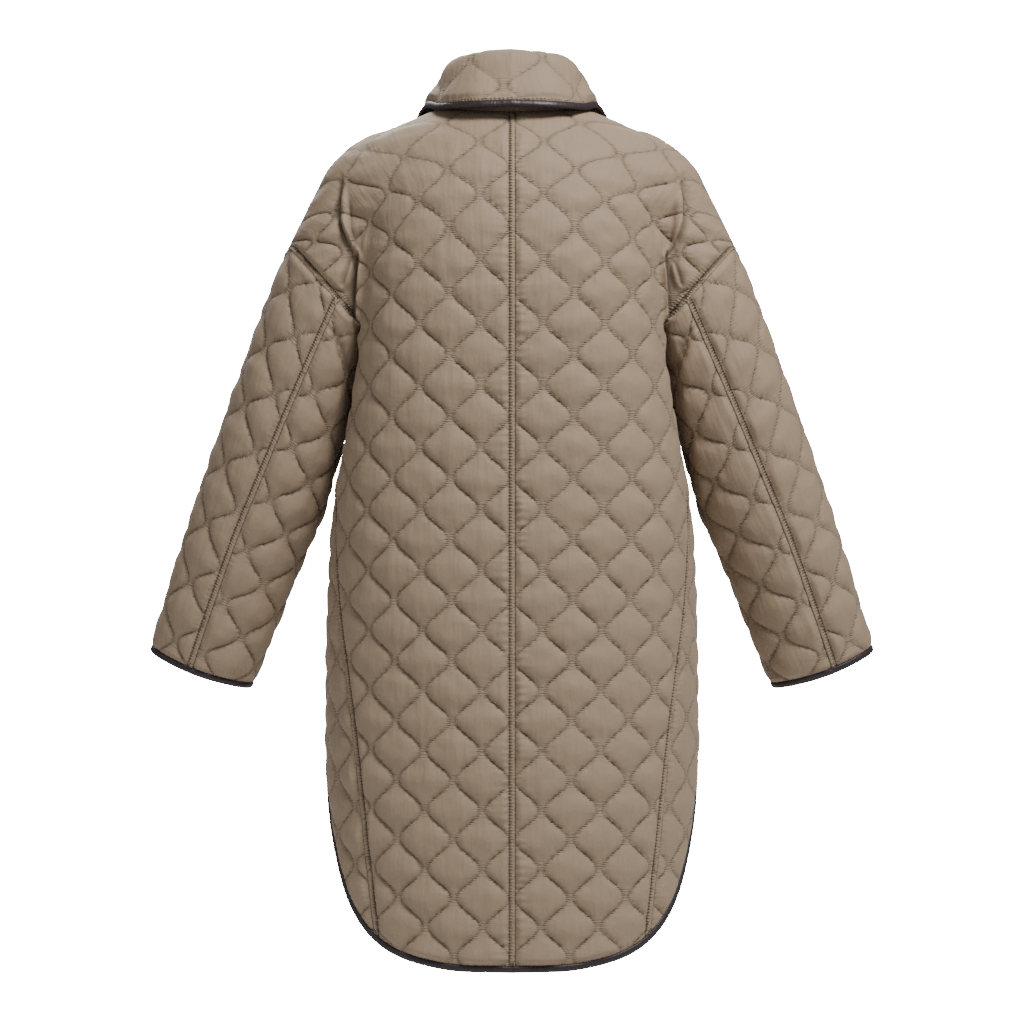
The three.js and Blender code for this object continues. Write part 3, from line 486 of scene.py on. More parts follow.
def insideOutline(spots, outline):
    inside = np.zeros(len(spots), bool)
    x, y = spots[:, 0], spots[:, 1]
    for a, b in zip(outline, np.roll(outline, -1, 0)):
        if a[1] == b[1]:
            continue
        hit = (a[1] > y) != (b[1] > y)
        inside ^= hit & (x < a[0] + (b[0] - a[0]) * (y - a[1]) / (b[1] - a[1]))
    return inside


def evenly(line, step):
    # the same line with points an even step apart
    gaps = np.hypot(*np.diff(line, axis=0).T)
    reach = np.concatenate([[0], np.cumsum(gaps)])
    at = np.linspace(0, reach[-1], max(2, int(round(reach[-1] / step)) + 1))
    return np.stack([np.interp(at, reach, line[:, 0]), np.interp(at, reach, line[:, 1])], -1)


def areaWithin(outline):
    # above zero where the outline runs the way that the faces in it turn
    x, y = outline.T
    return 0.5 * (dot(x, np.roll(y, -1)) - dot(y, np.roll(x, -1)))


# How each kind of edge is sewn, in millimetres; comb is the depth of the notches at its stitches
seamColumns = ("welt", "rise", "pucker", "period", "reach", "fade", "comb")
seamRows = {
    "middle": (6.0, 1.0, 0.8, 9.0, 17.0, 8.0, 1.0),
    "middleLedge": (0.0, 0.0, 0.7, 9.0, 17.0, 8.0, 0.3),
    "welt": (6.0, 1.0, 0.5, 6.4, 9.0, 8.0, 1.0),
    "armhole": (6.4, 1.2, 0.6, 5.0, 8.0, 8.0, 1.6),
    "ledge": (0.0, 0.0, 0.25, 6.4, 7.0, 9.0, 0.3),
    "plain": (0.0, 0.0, 0.3, 6.4, 8.0, 11.0, 0.3),
    "bound": (0.0, 0.0, 0.5, 6.4, 9.0, 8.0, 0.5),
}
seamKinds = {kind: dict(zip(seamColumns, row)) for kind, row in seamRows.items()}
lowerComb = {"from": -198, "over": 38, "more": 2.6}  # the armhole's notches deepen below this height
mesh = {
    "grid": 3.4, "fine": 2.2, "fineReach": 13.0, "fold": 1.7, "edge": 2.4, "line": 3.0, "inside": 12.0,
    "clear": 1.3,  # between the outline and the first spots
}


def seamRelief(kind, gap, along, seed):
    # share of the puff that is left, and what the welt and its puckers add
    sewn = seamKinds[kind]
    beside = gap - sewn["welt"]
    welt = 0
    if sewn["welt"]:
        welt = sewn["rise"] * (1 - np.clip(gap / sewn["welt"], 0, 1) ** 5)
    phase = along * 2 * np.pi / sewn["period"]
    phase = phase + 2.2 * np.sin(along / 21.0 + seed) + 1.3 * np.sin(along / 8.7 + 2 * seed)
    strength = 0.55 + 0.45 * np.sin(along / 33.0 + 3 * seed)
    reach = np.exp(-((beside / sewn["reach"]) ** 2)) * ease((beside + 1) / 2)
    return ease(beside / sewn["fade"]) ** 0.6, welt + sewn["pucker"] * strength * reach * np.sin(phase)


def makeMesh(name, points, faces, look, maps, values):
    # a map has a place for every point, and a value may leave out the inside, where it is nothing
    data = bpy.data.meshes.new(name)
    data.from_pydata((points * 0.001).tolist(), [], faces)
    data.polygons.foreach_set("use_smooth", np.ones(len(faces), bool))
    corners = np.zeros(len(data.loops), np.int32)
    data.loops.foreach_get("vertex_index", corners)
    for key, spots in maps.items():
        layer = data.uv_layers.new(name=key)
        layer.data.foreach_set("uv", (spots[corners] * 0.001).astype(np.float32).ravel())
    for key, value in values.items():
        attribute = data.attributes.new(key, "FLOAT", "POINT")
        padded = np.append(value, np.zeros(len(points) - np.size(value)))
        attribute.data.foreach_set("value", padded.astype(np.float32))
    data.materials.append(look)
    data.update()
    piece = bpy.data.objects.new(name, data)
    bpy.context.scene.collection.objects.link(piece)
    return piece


def facedOut(points, parts):
    # the faces of a closed shell, all turned over if it is inside out
    volume = 0
    for part in parts:
        for k in range(1, part.shape[1] - 1):
            a, b, c = points[part[:, 0]], points[part[:, k]], points[part[:, k + 1]]
            volume += dot(a, np.cross(b, c)).sum()
    way = 1 if volume > 0 else -1
    return [tuple(face[::way]) for part in parts for face in part.tolist()]


def rimWall(ring, count):
    # faces from a ring of outer points to the inner ones, which come count places later
    following = np.roll(ring, -1)
    return np.stack([ring, ring + count, following + count, following], -1)


def gridWithin(outline, step, clear):
    low, high = outline.min(0), outline.max(0)
    rows = np.arange(low[1], high[1], step * 0.866)
    columns = np.arange(low[0] - step, high[0] + step, step)
    u, v = np.meshgrid(columns, rows)
    u = u + (np.arange(len(rows)) % 2 * step / 2)[:, None]
    spots = np.stack([u.ravel(), v.ravel()], -1)
    spots = spots[insideOutline(spots, outline)]
    gap = nearLine(spots, np.vstack([outline, outline[:1]]))[0]
    return spots[gap > clear], gap[gap > clear]


def inBox(spots, box):
    (left, right), (top, foot) = box
    u, v = spots.T
    return (u > left) & (u < right) & (v > top) & (v < foot)


def scatterSpots(rough, cells, fineBox):
    # closer together near the edges and in the box of the folds, and none on the stitch lines
    near, gap = gridWithin(rough, mesh["fine"], mesh["clear"])
    wide, wideGap = gridWithin(rough, mesh["grid"], mesh["clear"])
    near, wide = near[gap < mesh["fineReach"]], wide[wideGap >= mesh["fineReach"]]
    if fineBox:
        fine = gridWithin(rough, mesh["fold"], mesh["clear"])[0]
        near = np.vstack([near[~inBox(near, fineBox)], fine[inBox(fine, fineBox)]])
        wide = wide[~inBox(wide, fineBox)]
    spots = np.vstack([near, wide])
    return spots[quiltPuff(spots[:, 0], spots[:, 1], cells, 0)[1] > 1.1]


def stitchRuns(outline, rough, cells):
    # spots along the stitch lines, joined in runs, so that each crease is sharp
    low, high = outline.min(0), outline.max(0)
    v = np.arange(low[1], high[1], mesh["line"] * 0.8)
    spots, runs = [], []
    first = len(outline)
    for k in range(-16, 18):
        row = evenly(np.stack([stitchLineAt(k, v, cells), v], -1), mesh["line"])
        if row[:, 0].max() < low[0] or row[:, 0].min() > high[0]:
            continue
        clear = nearLine(row, np.vstack([rough, rough[:1]]))[0] > 1.6
        index = np.flatnonzero(insideOutline(row, rough) & clear)
        runs += [(first + i, first + i + 1) for i in np.flatnonzero(np.diff(index) == 1)]
        first += len(index)
        spots.append(row[index])
    return np.vstack(spots), runs


def fillOutline(outline, spots, runs):
    # triangles over an outline and the spots in it
    rim = len(outline)
    ring = [(i, (i + 1) % rim) for i in range(rim)]
    corners = [Vector(spot) for spot in np.vstack([outline, spots]).tolist()]
    found = delaunay_2d_cdt(corners, ring + runs, [], 0, 1e-4)
    flat = np.array([tuple(spot) for spot in found[0]])
    faces = np.array([face for face in found[2] if len(face) == 3])
    onRim = np.flatnonzero((faces < rim).all(1))
    outside = onRim[~insideOutline(flat[faces[onRim]].mean(1), outline)]
    return flat, np.delete(faces, outside, 0)


def lieFlat(n):
    # the puffs lie flatter where the cloth faces up, and at the flanks
    upwards = 0.55 * ease((n[:, 2] - 0.1) / 0.5)
    sideways = 0.5 * ease((np.abs(n[:, 0]) - 0.6) / 0.35)
    return (1 - upwards) * (1 - sideways)


flatSizes = {}
panelSeeds = {"back": 1, "side_back": 3, "front": 5, "sleeve_top": 7, "sleeve_under": 9}


def sewPanel(form, side, edges, place, cells, relief, fineBox=None):
    # edges is a list of (kind, flat line) that run round the panel once
    name = f"{form}_{side}"
    seed = panelSeeds[form] + (side == "right")
    rims = [evenly(np.asarray(edge, float), mesh["edge"])[:-1] for _, edge in edges]
    outline = np.vstack(rims)
    rim, rough = len(outline), outline[::3]
    sewn, runs = stitchRuns(outline, rough, cells)
    flatSpots, faces = fillOutline(outline, np.vstack([sewn, scatterSpots(rough, cells, fineBox)]), runs)
    # the inside is plain, so its points are few
    inSpots, inFaces = fillOutline(outline, gridWithin(rough, mesh["inside"], 5.0)[0], [])

    u, v = flatSpots.T
    count = len(u)
    p, n = place(u, v)
    puff, fromLine, neck = quiltPuff(u, v, cells, seed)
    line, pinch = np.exp(-fromLine / 1.2), np.exp(-fromLine / 5.0)
    share, added, comb = np.ones(count), np.zeros(count), np.zeros(count)
    sewing = np.full((count, 2), 50.0)
    for number, (kind, edge) in enumerate(edges):
        gap, along = nearLine(flatSpots, evenly(np.asarray(edge, float), 7.0))
        close = gap < 40
        beside = gap - seamKinds[kind]["welt"]
        nearer = np.abs(beside) < np.abs(sewing[:, 1])
        sewing[nearer] = np.stack([along, beside], -1)[nearer]
        comb[nearer] = seamKinds[kind]["comb"]
        if kind == "armhole":
            low = ease((lowerComb["from"] - p[nearer, 2]) / lowerComb["over"])
            comb[nearer] += lowerComb["more"] * low
        left, extra = seamRelief(kind, gap[close], along[close], seed + number)
        share[close] *= left
        added[close] += extra
        pinch = np.maximum(pinch, np.exp(-gap / 7.0))
    height = puff * lieFlat(n) * share + 0.35 * ripple(u, v, 26, seed) * (0.3 + share)
    height += 0.4 * np.exp(-fromLine / 6) * ripple(u * 0.4, v, 6.5, seed + 5) * share + added
    # fold is the painted shadow along the drawn folds, for the base colour
    height, fold = relief(p, height)

    kinds = [kind for kind, _ in edges]
    if "armhole" in kinds:
        # the shoulder edge, which comes next, lies on the ridge of the shoulder
        shoulder = kinds.index("armhole") + 1
        first = sum(len(spots) for spots in rims[:shoulder])
        ridge = np.arange(first, first + len(rims[shoulder]) + 1)
        p[ridge, 1] = 0
        n[ridge, 1] = 0
        n[ridge] = unit(n[ridge])
    inPlaces, inNormals = place(*inSpots.T)
    inPlaces[:rim], inNormals[:rim] = p[:rim], n[:rim]
    points = np.vstack([p + n * height[:, None], inPlaces - inNormals * cut["wall"]])
    if side == "right":
        points = points * mirrorX
    area = areaWithin(outline)
    wall = rimWall(np.arange(rim), count)
    corners = facedOut(points, [faces, inFaces[:, ::-1] + count, wall if area > 0 else wall[:, ::-1]])
    maps = {"flat": np.vstack([flatSpots, inSpots]), "sewing": np.vstack([sewing, inSpots * 0 + 50])}
    values = {"pinch": pinch, "line": line, "comb": comb, "neck": neck * share, "fold": fold}
    piece = makeMesh(name + "_cloth", points, corners, cloth, maps, values)
    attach(piece, "root")
    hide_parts(name)
    width, length = (np.ptp(outline, axis=0) * 0.001).tolist()
    flatSizes[name] = (width, length, abs(area) * 1e-6)
    print(f"{name}: {len(corners)} faces, flat {width:.3f} by {length:.3f} m")


# Finishes
finish = {
    "cloth": (0.300, 0.218, 0.146),
    "clothWarm": (0.330, 0.244, 0.166),
    # darker yarn slubs, and the painted shade in the quilting creases and seams
    "clothSlubAndShade": (0.120, 0.083, 0.053),
    # near black brown of the painted shadow in the folds
    "clothFoldShadow": (0.035, 0.024, 0.015),
    "binding": (0.015, 0.009, 0.012),
    "bindingWorn": (0.030, 0.019, 0.024),
    "metal": (0.10, 0.09, 0.085),
}


class Nodes:
    # short hands for building a material
    def __init__(self, name):
        self.material = bpy.data.materials.new(name)
        self.material.use_nodes = True
        self.tree = self.material.node_tree
        self.shader = self.tree.nodes["Principled BSDF"]

    def add(self, kind, settings=None, **sockets):
        node = self.tree.nodes.new("ShaderNode" + kind)
        for key, value in (settings or {}).items():
            setattr(node, key, value)
        for key, value in sockets.items():
            self.put(node, key, value)
        return node

    def put(self, node, key, value):
        numbered = key[0] == "i" and key[1:].isdigit()
        socket = node.inputs[int(key[1:]) if numbered else key.replace("_", " ")]
        if isinstance(value, bpy.types.NodeSocket):
            self.tree.links.new(value, socket)
        else:
            socket.default_value = value

    def math(self, operation, a, b=0.0, clamp=False):
        return self.add("Math", {"operation": operation, "use_clamp": clamp}, i0=a, i1=b).outputs[0]

    def attribute(self, name):
        return self.add("Attribute", {"attribute_name": name}).outputs["Fac"]

    def mapped(self, uv, scale):
        source = self.add("UVMap", {"uv_map": uv}).outputs[0]
        return self.add("Mapping", None, Vector=source, Scale=scale).outputs[0]

    def noise(self, vector, scale, detail=2.0, rough=0.5):
        return self.add("TexNoise", None, Vector=vector, Scale=scale, Detail=detail, Roughness=rough).outputs["Fac"]

    def bump(self, height, strength, distance, normal=None):
        node = self.add("Bump", None, Height=height, Strength=strength, Distance=distance)
        if normal:
            self.tree.links.new(normal, node.inputs["Normal"])
        return node.outputs[0]

    def blend(self, share, a, b):
        node = self.add("Mix", {"data_type": "RGBA"})
        self.put(node, "i0", share)
        for index, value in ((6, a), (7, b)):
            if isinstance(value, bpy.types.NodeSocket):
                self.tree.links.new(value, node.inputs[index])
            else:
                node.inputs[index].default_value = (*value, 1) if len(value) == 3 else value
        return node.outputs[2]


def quiltedClothLook():
    look = Nodes("quiltedCloth")
    flat = look.mapped("flat", (1, 1, 1))
    pinch, line, comb, neck, fold = (look.attribute(name) for name in ("pinch", "line", "comb", "neck", "fold"))
    apart = look.add("SeparateXYZ", None, i0=flat)
    flatU, flatV = apart.outputs[0], apart.outputs[1]
    sewing = look.add("SeparateXYZ", None, i0=look.mapped("sewing", (1, 1, 1)))
    along, beside = sewing.outputs[0], sewing.outputs[1]

    def band(value, far, near):
        node = look.add("MapRange", {"interpolation_type": "SMOOTHSTEP"}, Value=value)
        look.put(node, "i1", far)
        look.put(node, "i2", near)
        return node.outputs[0]

    # notches where each stitch pulls the cloth in, along the seams, the quilting and its necks
    wobble = look.noise(flat, 240, 1)
    phase = look.math("MULTIPLY", along, 2 * math.pi / 0.0034)
    phase = look.math("ADD", phase, look.math("MULTIPLY", wobble, 3.0))
    onWelt = look.math("MULTIPLY", band(beside, -0.0042, -0.0008), band(beside, 0.0018, 0.0002))
    seamNotch = look.math("MULTIPLY", look.math("SINE", phase), onWelt)
    seamNotch = look.math("MULTIPLY", seamNotch, look.math("MINIMUM", comb, 1.5))
    closer = look.math("MULTIPLY", along, 2 * math.pi / 0.0041)
    closer = look.math("ADD", closer, look.math("MULTIPLY", wobble, 5.0))
    ahead = look.math("MULTIPLY", band(beside, -0.0070, -0.0056), band(beside, 0.0085, 0.0030))
    strong = look.math("MULTIPLY", look.math("SUBTRACT", comb, 2.0, True), 0.7)
    rungs = look.math("MULTIPLY", look.math("MULTIPLY", look.math("SINE", closer), ahead), strong)
    groove = band(look.math("ABSOLUTE", beside), 0.0012, 0.0001)
    groove = look.math("MULTIPLY", groove, look.math("MINIMUM", comb, 1.0))
    stitch = look.math("SINE", look.math("MULTIPLY", flatV, 2 * math.pi / 0.0024))
    quiltNotch = look.math("MULTIPLY", stitch, look.math("POWER", line, 1.5))
    tuck = look.math("MULTIPLY", flatV, 2 * math.pi / 0.0033)
    tuck = look.math("SINE", look.math("ADD", tuck, look.math("MULTIPLY", wobble, 4.0)))
    neckTuck = look.math("MULTIPLY", tuck, neck)
    # fine puckers that run across the seams, a soft crumple, and the weave
    pucker = look.noise(look.mapped("flat", (90, 300, 1)), 1.0, 2)
    puckered = look.math("MULTIPLY", pucker, look.math("POWER", pinch, 1.3))
    crumple = look.noise(flat, 55, 3, 0.55)
    hang = look.noise(look.mapped("flat", (105, 17, 1)), 1.0, 2)
    warp = look.math("SINE", look.math("MULTIPLY", flatU, 2 * math.pi / 0.0007))
    weft = look.math("SINE", look.math("MULTIPLY", flatV, 2 * math.pi / 0.0007))
    slub = look.noise(look.mapped("flat", (2200, 320, 1)), 1.0, 2)
    normal = look.bump(crumple, 0.5, 0.0020)
    normal = look.bump(hang, 0.6, 0.0030, normal)
    normal = look.bump(puckered, 0.9, 0.0024, normal)
    normal = look.bump(seamNotch, 1.0, 0.0012, normal)
    normal = look.bump(rungs, 1.0, 0.0011, normal)
    normal = look.bump(look.math("MULTIPLY", groove, -1.0), 1.0, 0.0012, normal)
    normal = look.bump(quiltNotch, 0.8, 0.0006, normal)
    normal = look.bump(neckTuck, 0.6, 0.0004, normal)
    normal = look.bump(look.math("ADD", look.math("MULTIPLY", warp, weft), slub), 0.25, 0.00008, normal)
    look.put(look.shader, "Normal", normal)
    tone = look.noise(flat, 14, 3)
    warm = look.blend(look.math("MULTIPLY", tone, 0.4), finish["cloth"], finish["clothWarm"])
    thready = look.blend(look.math("MULTIPLY", slub, 0.22), warm, finish["clothSlubAndShade"])
    # painted shade: the stitch lines (with a little darker thread there too), the seam grooves, the stitch notches,
    # the rungs and the neck tucks darken the base colour where their creases lie in shade
    dark = look.math("ADD", look.math("MULTIPLY", neck, 0.35), 0.36)
    shade = look.math("MULTIPLY", line, dark)
    shade = look.math("ADD", shade, look.math("MULTIPLY", groove, 0.55), True)
    shade = look.math("ADD", shade, look.math("MULTIPLY", look.math("ABSOLUTE", seamNotch), 0.2), True)
    shade = look.math("ADD", shade, look.math("MULTIPLY", look.math("MAXIMUM", rungs, 0.0), 0.4), True)
    shade = look.math("ADD", shade, look.math("MULTIPLY", look.math("ABSOLUTE", neckTuck), 0.08), True)
    sewn = look.blend(shade, thready, finish["clothSlubAndShade"])
    # painted shadow along the drawn folds, from the fold attribute
    look.put(look.shader, "Base_Color", look.blend(look.math("MINIMUM", fold, 0.9), sewn, finish["clothFoldShadow"]))
    look.put(look.shader, "Roughness", 0.66)
    look.put(look.shader, "Sheen_Weight", 0.1)
    look.put(look.shader, "Sheen_Roughness", 0.4)
    look.put(look.shader, "Specular_IOR_Level", 0.35)
    return look.material


def bindingLook():
    look = Nodes("bindingLeather")
    flat = look.mapped("flat", (1, 1, 1))
    grain = look.add("TexVoronoi", {"feature": "DISTANCE_TO_EDGE"}, Vector=flat, Scale=900).outputs[0]
    pull = look.noise(look.mapped("flat", (260, 70, 1)), 1.0, 2)
    normal = look.bump(pull, 0.7, 0.0008)
    normal = look.bump(grain, 0.25, 0.0001, normal)
    look.put(look.shader, "Normal", normal)
    wear = look.noise(flat, 90, 4, 0.6)
    look.put(look.shader, "Base_Color", look.blend(wear, finish["binding"], finish["bindingWorn"]))
    look.put(look.shader, "Roughness", 0.46)
    look.put(look.shader, "Specular_IOR_Level", 0.45)
    return look.material


cloth = quiltedClothLook()
leather = bindingLook()
print("finishes made")

# Seam lines of one half of the body, as flat lines
backMiddle = {"left": -3.15, "right": 3.05}  # the centre seam's edge lies a welt's half to one side


def sideBackAt(v):
    return back.sideLine(v) - readCurve(sideBackRows, 1, v)


hemMeets = float(crossing(lambda s: back.hem(s)[0] - sideBackAt(back.hem(s)[1]), 0.5, 4.0))
seamFoot = float(back.hem(np.array(hemMeets))[1])


def flatLine(u, v):
    return np.stack(np.broadcast_arrays(np.asarray(u, float), np.asarray(v, float)), -1)


def hemLine(half, start, end):
    s = np.linspace(start, end, 90)
    return flatLine(*half.hem(s))


def upperEdges(half, neckEnd):
    # underarm to armhole, shoulder and neck, ending at the middle
    under, join = cut["underarmDepth"], cut["joinDepth"]
    v = np.linspace(under - 16, join + 12, 60)
    tip = half.joinEnd - 1.5
    armhole = np.vstack([
        flatLine(half.valley, under), flatLine(half.armhole(v), v),
        flatLine(tip, half.shoulder(np.array(tip))),
    ])
    u = np.linspace(tip, half.neckPoint, 60)
    shoulder = flatLine(u, half.shoulder(u))
    around = flatLine(*half.neck(np.linspace(89.9, 0.5, 60)))
    neck = np.vstack([shoulder[-1:], around, flatLine(neckEnd, around[-1, 1])])
    if neckEnd > around[-1, 0]:
        neck = np.vstack([neck[neck[:, 0] > neckEnd + 0.5], flatLine(neckEnd, around[-1, 1])])
    return armhole, shoulder, neck


def backEdges(middle):
    armhole, shoulder, neck = upperEdges(back, middle)
    hem = hemLine(back, 0, hemMeets)
    hem = np.vstack([flatLine(middle, hem[0, 1]), hem[hem[:, 0] > middle + 0.5]])
    v = np.linspace(seamFoot, cut["underarmDepth"], 60)
    side = flatLine(sideBackAt(v), v)
    hem[-1] = side[0]
    under = np.vstack([side[-1], armhole[0]])
    centre = np.vstack([neck[-1], hem[0]])
    kind = "middle" if middle < 0 else "middleLedge"
    return [(kind, centre), ("bound", hem), ("welt", side), ("plain", under),
            ("armhole", armhole), ("welt", shoulder), ("plain", neck)]


def creasesAt(x, z, lines):
    # folds drawn in the plane seen from behind: a crisp edge on one side, then a slow rise, and the painted shadow
    # along them
    height, shade = 0 * x, 0 * x
    for fold in lines:
        line = np.array(fold["line"], float)[::-1]
        s = (x - np.interp(z, line[:, 1], line[:, 0])) * fold.get("turn", 1)
        fade = ease((line[-1, 1] - z) / fold["top"]) * ease((z - line[0, 1]) / fold["foot"])
        sharp = np.where(s < 0, np.exp(-((s / fold["lip"]) ** 2)), np.exp(-s / fold["wide"]))
        roll = np.exp(-(((s + 3.2 * fold["lip"]) / (1.8 * fold["lip"])) ** 2))
        height = height + fade * (0.3 * fold["deep"] * roll - fold["deep"] * sharp)
        # painted shadow along the fold: narrow on the raised side, wider over the deep side
        foldShadow = np.where(s < 0, np.exp(s / 1.2), np.exp(-s / (1.2 + 0.35 * fold["wide"])))
        shade = np.maximum(shade, fade * fold["shade"] * foldShadow)
    return height, shade


lowest = -1.5  # the outer cloth is never pressed further into its wall
armFolds = [
    {"line": [(194, -60), (196.5, -85), (197, -103), (197.5, -123), (193.5, -135), (187, -151), (178, -166)],
     "deep": 8.0, "lip": 1.7, "wide": 5.0, "top": 34, "foot": 8, "shade": 0.75},
    {"line": [(185, -92), (184.5, -118), (183.3, -135), (179, -161)],
     "deep": 3.4, "lip": 1.6, "wide": 3.5, "top": 20, "foot": 8, "turn": -1, "shade": 0.4},
    {"line": [(177, -157), (176.5, -166), (177, -176), (180, -210), (182, -250), (184, -275)],
     "deep": 11.0, "lip": 1.8, "wide": 9.0, "top": 12, "foot": 16, "shade": 1.0},
    {"line": [(183, -163), (188, -178), (192, -190), (195, -203)],
     "deep": 4.0, "lip": 1.6, "wide": 3.5, "top": 8, "foot": 8, "shade": 0.6},
]
sleeveFolds = [
    {"line": [(203, -256), (196, -270), (191, -285), (189, -302)],
     "deep": 6.0, "lip": 3.2, "wide": 8.0, "top": 12, "foot": 12, "turn": -1, "shade": 0.5},
    {"line": [(212, -243), (203, -254), (196, -262)],
     "deep": 3.5, "lip": 3.0, "wide": 6.0, "top": 8, "foot": 6, "turn": -1, "shade": 0.3},
]


foldBox = ((150, 250), (30, 275))  # where the folds lie on the flat back, meshed finely


def bodyRelief(folds):
    def relief(p, height):
        x, z = np.abs(p[:, 0]), p[:, 2]
        beside = (x > 140) & (z > -620)
        clear = np.maximum(0.3, (sleeveForm(np.stack([x, p[:, 1], z], -1)) - 2) / 2)
        clear = clear + 9 * ease((z + 300) / 90)  # the puffs run on into the fold at the armhole
        height = np.where(beside, np.minimum(height, clear), height)
        crease, shade = creasesAt(x, z, folds)
        return np.maximum(height + crease, lowest), shade

    return relief


for side in ("left", "right"):
    sewPanel("back", side, backEdges(backMiddle[side]), back.at, bodyCells(0), bodyRelief(armFolds), foldBox)


def slitEdge(half):
    end = float(half.sideLine(np.array(cut["slitDepth"])))
    bound = [end - cutBack - cut["slitGap"], cut["slitDepth"] + 3]
    return np.array([bound, [end, cut["slitDepth"]]])


def sideSeam(half):
    v = np.linspace(cut["slitDepth"], cut["underarmDepth"], 60)
    return flatLine(half.sideLine(v), v)


def sideBackEdges():
    v = np.linspace(cut["underarmDepth"], seamFoot, 60)
    inner = flatLine(sideBackAt(v), v)
    hem, slit, side = hemLine(back, hemMeets, cut["hemEnd"]), slitEdge(back), sideSeam(back)
    hem[0] = inner[-1]
    under = np.vstack([side[-1], inner[0]])
    return [("ledge", inner), ("bound", np.vstack([hem, slit[:1]])), ("plain", slit), ("plain", side),
            ("plain", under)]


for side in ("left", "right"):
    sewPanel(
        "side_back", side, sideBackEdges(), back.at, bodyCells(quilting["sideBackShift"]), bodyRelief([]))

# Fronts, the wearer's right one over the left
lapEdge = cutBack - cut["lap"]
studs = {"depths": (104, 246, 385, 523, 658), "radius": 7.5, "height": 3.2, "seat": 6.75}


def frontPlace(lift):
    def place(u, v):
        p, n = front.at(u, v)
        rise = lift * cut["lapLift"] * (1 - ease((u - 8) / cut["lapFade"]))
        return p + n * rise[..., None], n

    return place


def frontEdges():
    armhole, shoulder, neck = upperEdges(front, lapEdge)
    hem, slit, side = hemLine(front, 0, cut["hemEnd"]), slitEdge(front), sideSeam(front)
    hem = np.vstack([flatLine(lapEdge, hem[0, 1]), hem, slit[:1]])
    under = np.vstack([side[-1], armhole[0]])
    edge = np.vstack([neck[-1], hem[0]])
    return [("bound", edge), ("bound", hem), ("plain", slit), ("plain", side), ("plain", under),
            ("armhole", armhole), ("ledge", shoulder), ("plain", neck)]


def pressedRelief(p, height):
    # the cloth under each press stud is pressed into a small seat
    height, shade = bodyRelief([])(p, height)
    for v in studs["depths"]:
        seat = frontPlace(1)(np.array(0.0), np.array(v))[0]
        gap = np.linalg.norm((p - seat) * np.array([1, 0.3, 1]), axis=-1)
        height = mix(studs["seat"], height, ease((gap - studs["radius"] - 0.6) / 7))
    return height, shade


for side, lift in (("left", -1), ("right", 1)):
    relief = bodyRelief([]) if side == "left" else pressedRelief
    sewPanel("front", side, frontEdges(), frontPlace(lift), bodyCells(0), relief)

# Sleeves: rows of the form between the armhole and the cuff, each panel laid flat about its middle
def armholeRing():
    # how far down the arm the armhole lies at each turn round it
    spots = []
    for half in (back, front):
        armhole = upperEdges(half, 5.0)[0]
        line = evenly(armhole, 2.0)
        p = half.at(line[:, 0], line[:, 1])[0]
        spots.append(p)
        under = cut["underarmDepth"]
        u = np.linspace(half.valley, float(half.sideLine(np.array(cut["underarmDepth"]))) - 4, 30)
        spots.append(half.at(u, under + 0 * u)[0])
    p = np.vstack(spots)
    t, out, behind = armCoords(p)
    turn = (np.degrees(np.arctan2(out, behind)) - cut["backSeamAngle"] + 720) % 360
    order = np.argsort(turn)
    return turn[order], t[order]


ringTurns, ringStarts = armholeRing()


def sleeveSpot(turn, t):
    angle = np.radians(turn + cut["backSeamAngle"])
    wayX, wayZ = cut["armWay"]
    shift = readCurve(armRows, 3, t)
    middle = np.stack([
        cut["armTop"][0] + wayX * t - wayZ * shift, armForwardAt(t),
        cut["armTop"][1] + wayZ * t + wayX * shift], -1)
    way = np.stack([-wayZ * np.sin(angle), np.cos(angle), wayX * np.sin(angle)], -1)
    r = crossing(lambda far: sleeveForm(middle + way * far[..., None]), 4 + 0 * t, 130 + 0 * t)
    p = middle + way * r[..., None]
    return p, unit(slopeOf(sleeveForm, p))


def layOutSleeve(start, end):
    rows, columns = 80, 90
    share = np.linspace(0, 1, rows)[:, None]
    lean = -11.5 * (1 - share) ** 1.8  # degrees the seams lean towards the body near the armhole
    turns = np.linspace(start, end, columns) + lean[0]
    top = np.interp(turns % 360, ringTurns, ringStarts, period=360) - 1.2  # tucked under the welt
    turnAt = np.linspace(start, end, columns)[None] + lean
    behind = np.maximum(0, np.cos(np.radians(turnAt + cut["backSeamAngle"])))
    t = mix(top[None], cut["armLength"] - cutBack + 7 * behind, share)  # the cuff hangs lower behind
    p, n = sleeveSpot(turnAt, t)
    reach = np.concatenate([np.zeros((rows, 1)), np.cumsum(np.linalg.norm(np.diff(p, axis=1), axis=-1), 1)], 1)
    width = reach[:, -1]
    even = np.linspace(0, 1, columns)
    resample = lambda table: np.stack([
        np.stack([np.interp(even * width[i], reach[i], table[i, :, k]) for k in range(3)], -1) for i in range(rows)])
    places, normals = resample(p), resample(n)
    rowAt = lambda v: np.clip(v / cut["sleeveLength"], 0, 1) * (rows - 1)
    widthAt = lambda v: np.interp(rowAt(v), np.arange(rows), width)

    def at(u, v):
        u, v = np.broadcast_arrays(np.asarray(u, float), np.asarray(v, float))
        column = (0.5 + u / widthAt(v)) * (columns - 1)
        return lookUp(places, rowAt(v), column), unit(lookUp(normals, rowAt(v), column))

    return SimpleNamespace(at=at, widthAt=widthAt)


def sleeveEdges(sheet, welted):
    v = np.linspace(0, cut["sleeveLength"], 60)
    half = sheet.widthAt(v) / 2
    rise, fall = flatLine(-half, v)[::-1], flatLine(half, v)
    top = np.vstack([rise[-1], fall[0]])
    cuff = np.vstack([fall[-1], rise[0]])
    return [("ledge", top), ("ledge", fall), ("bound", cuff), ("welt" if welted else "ledge", rise)]


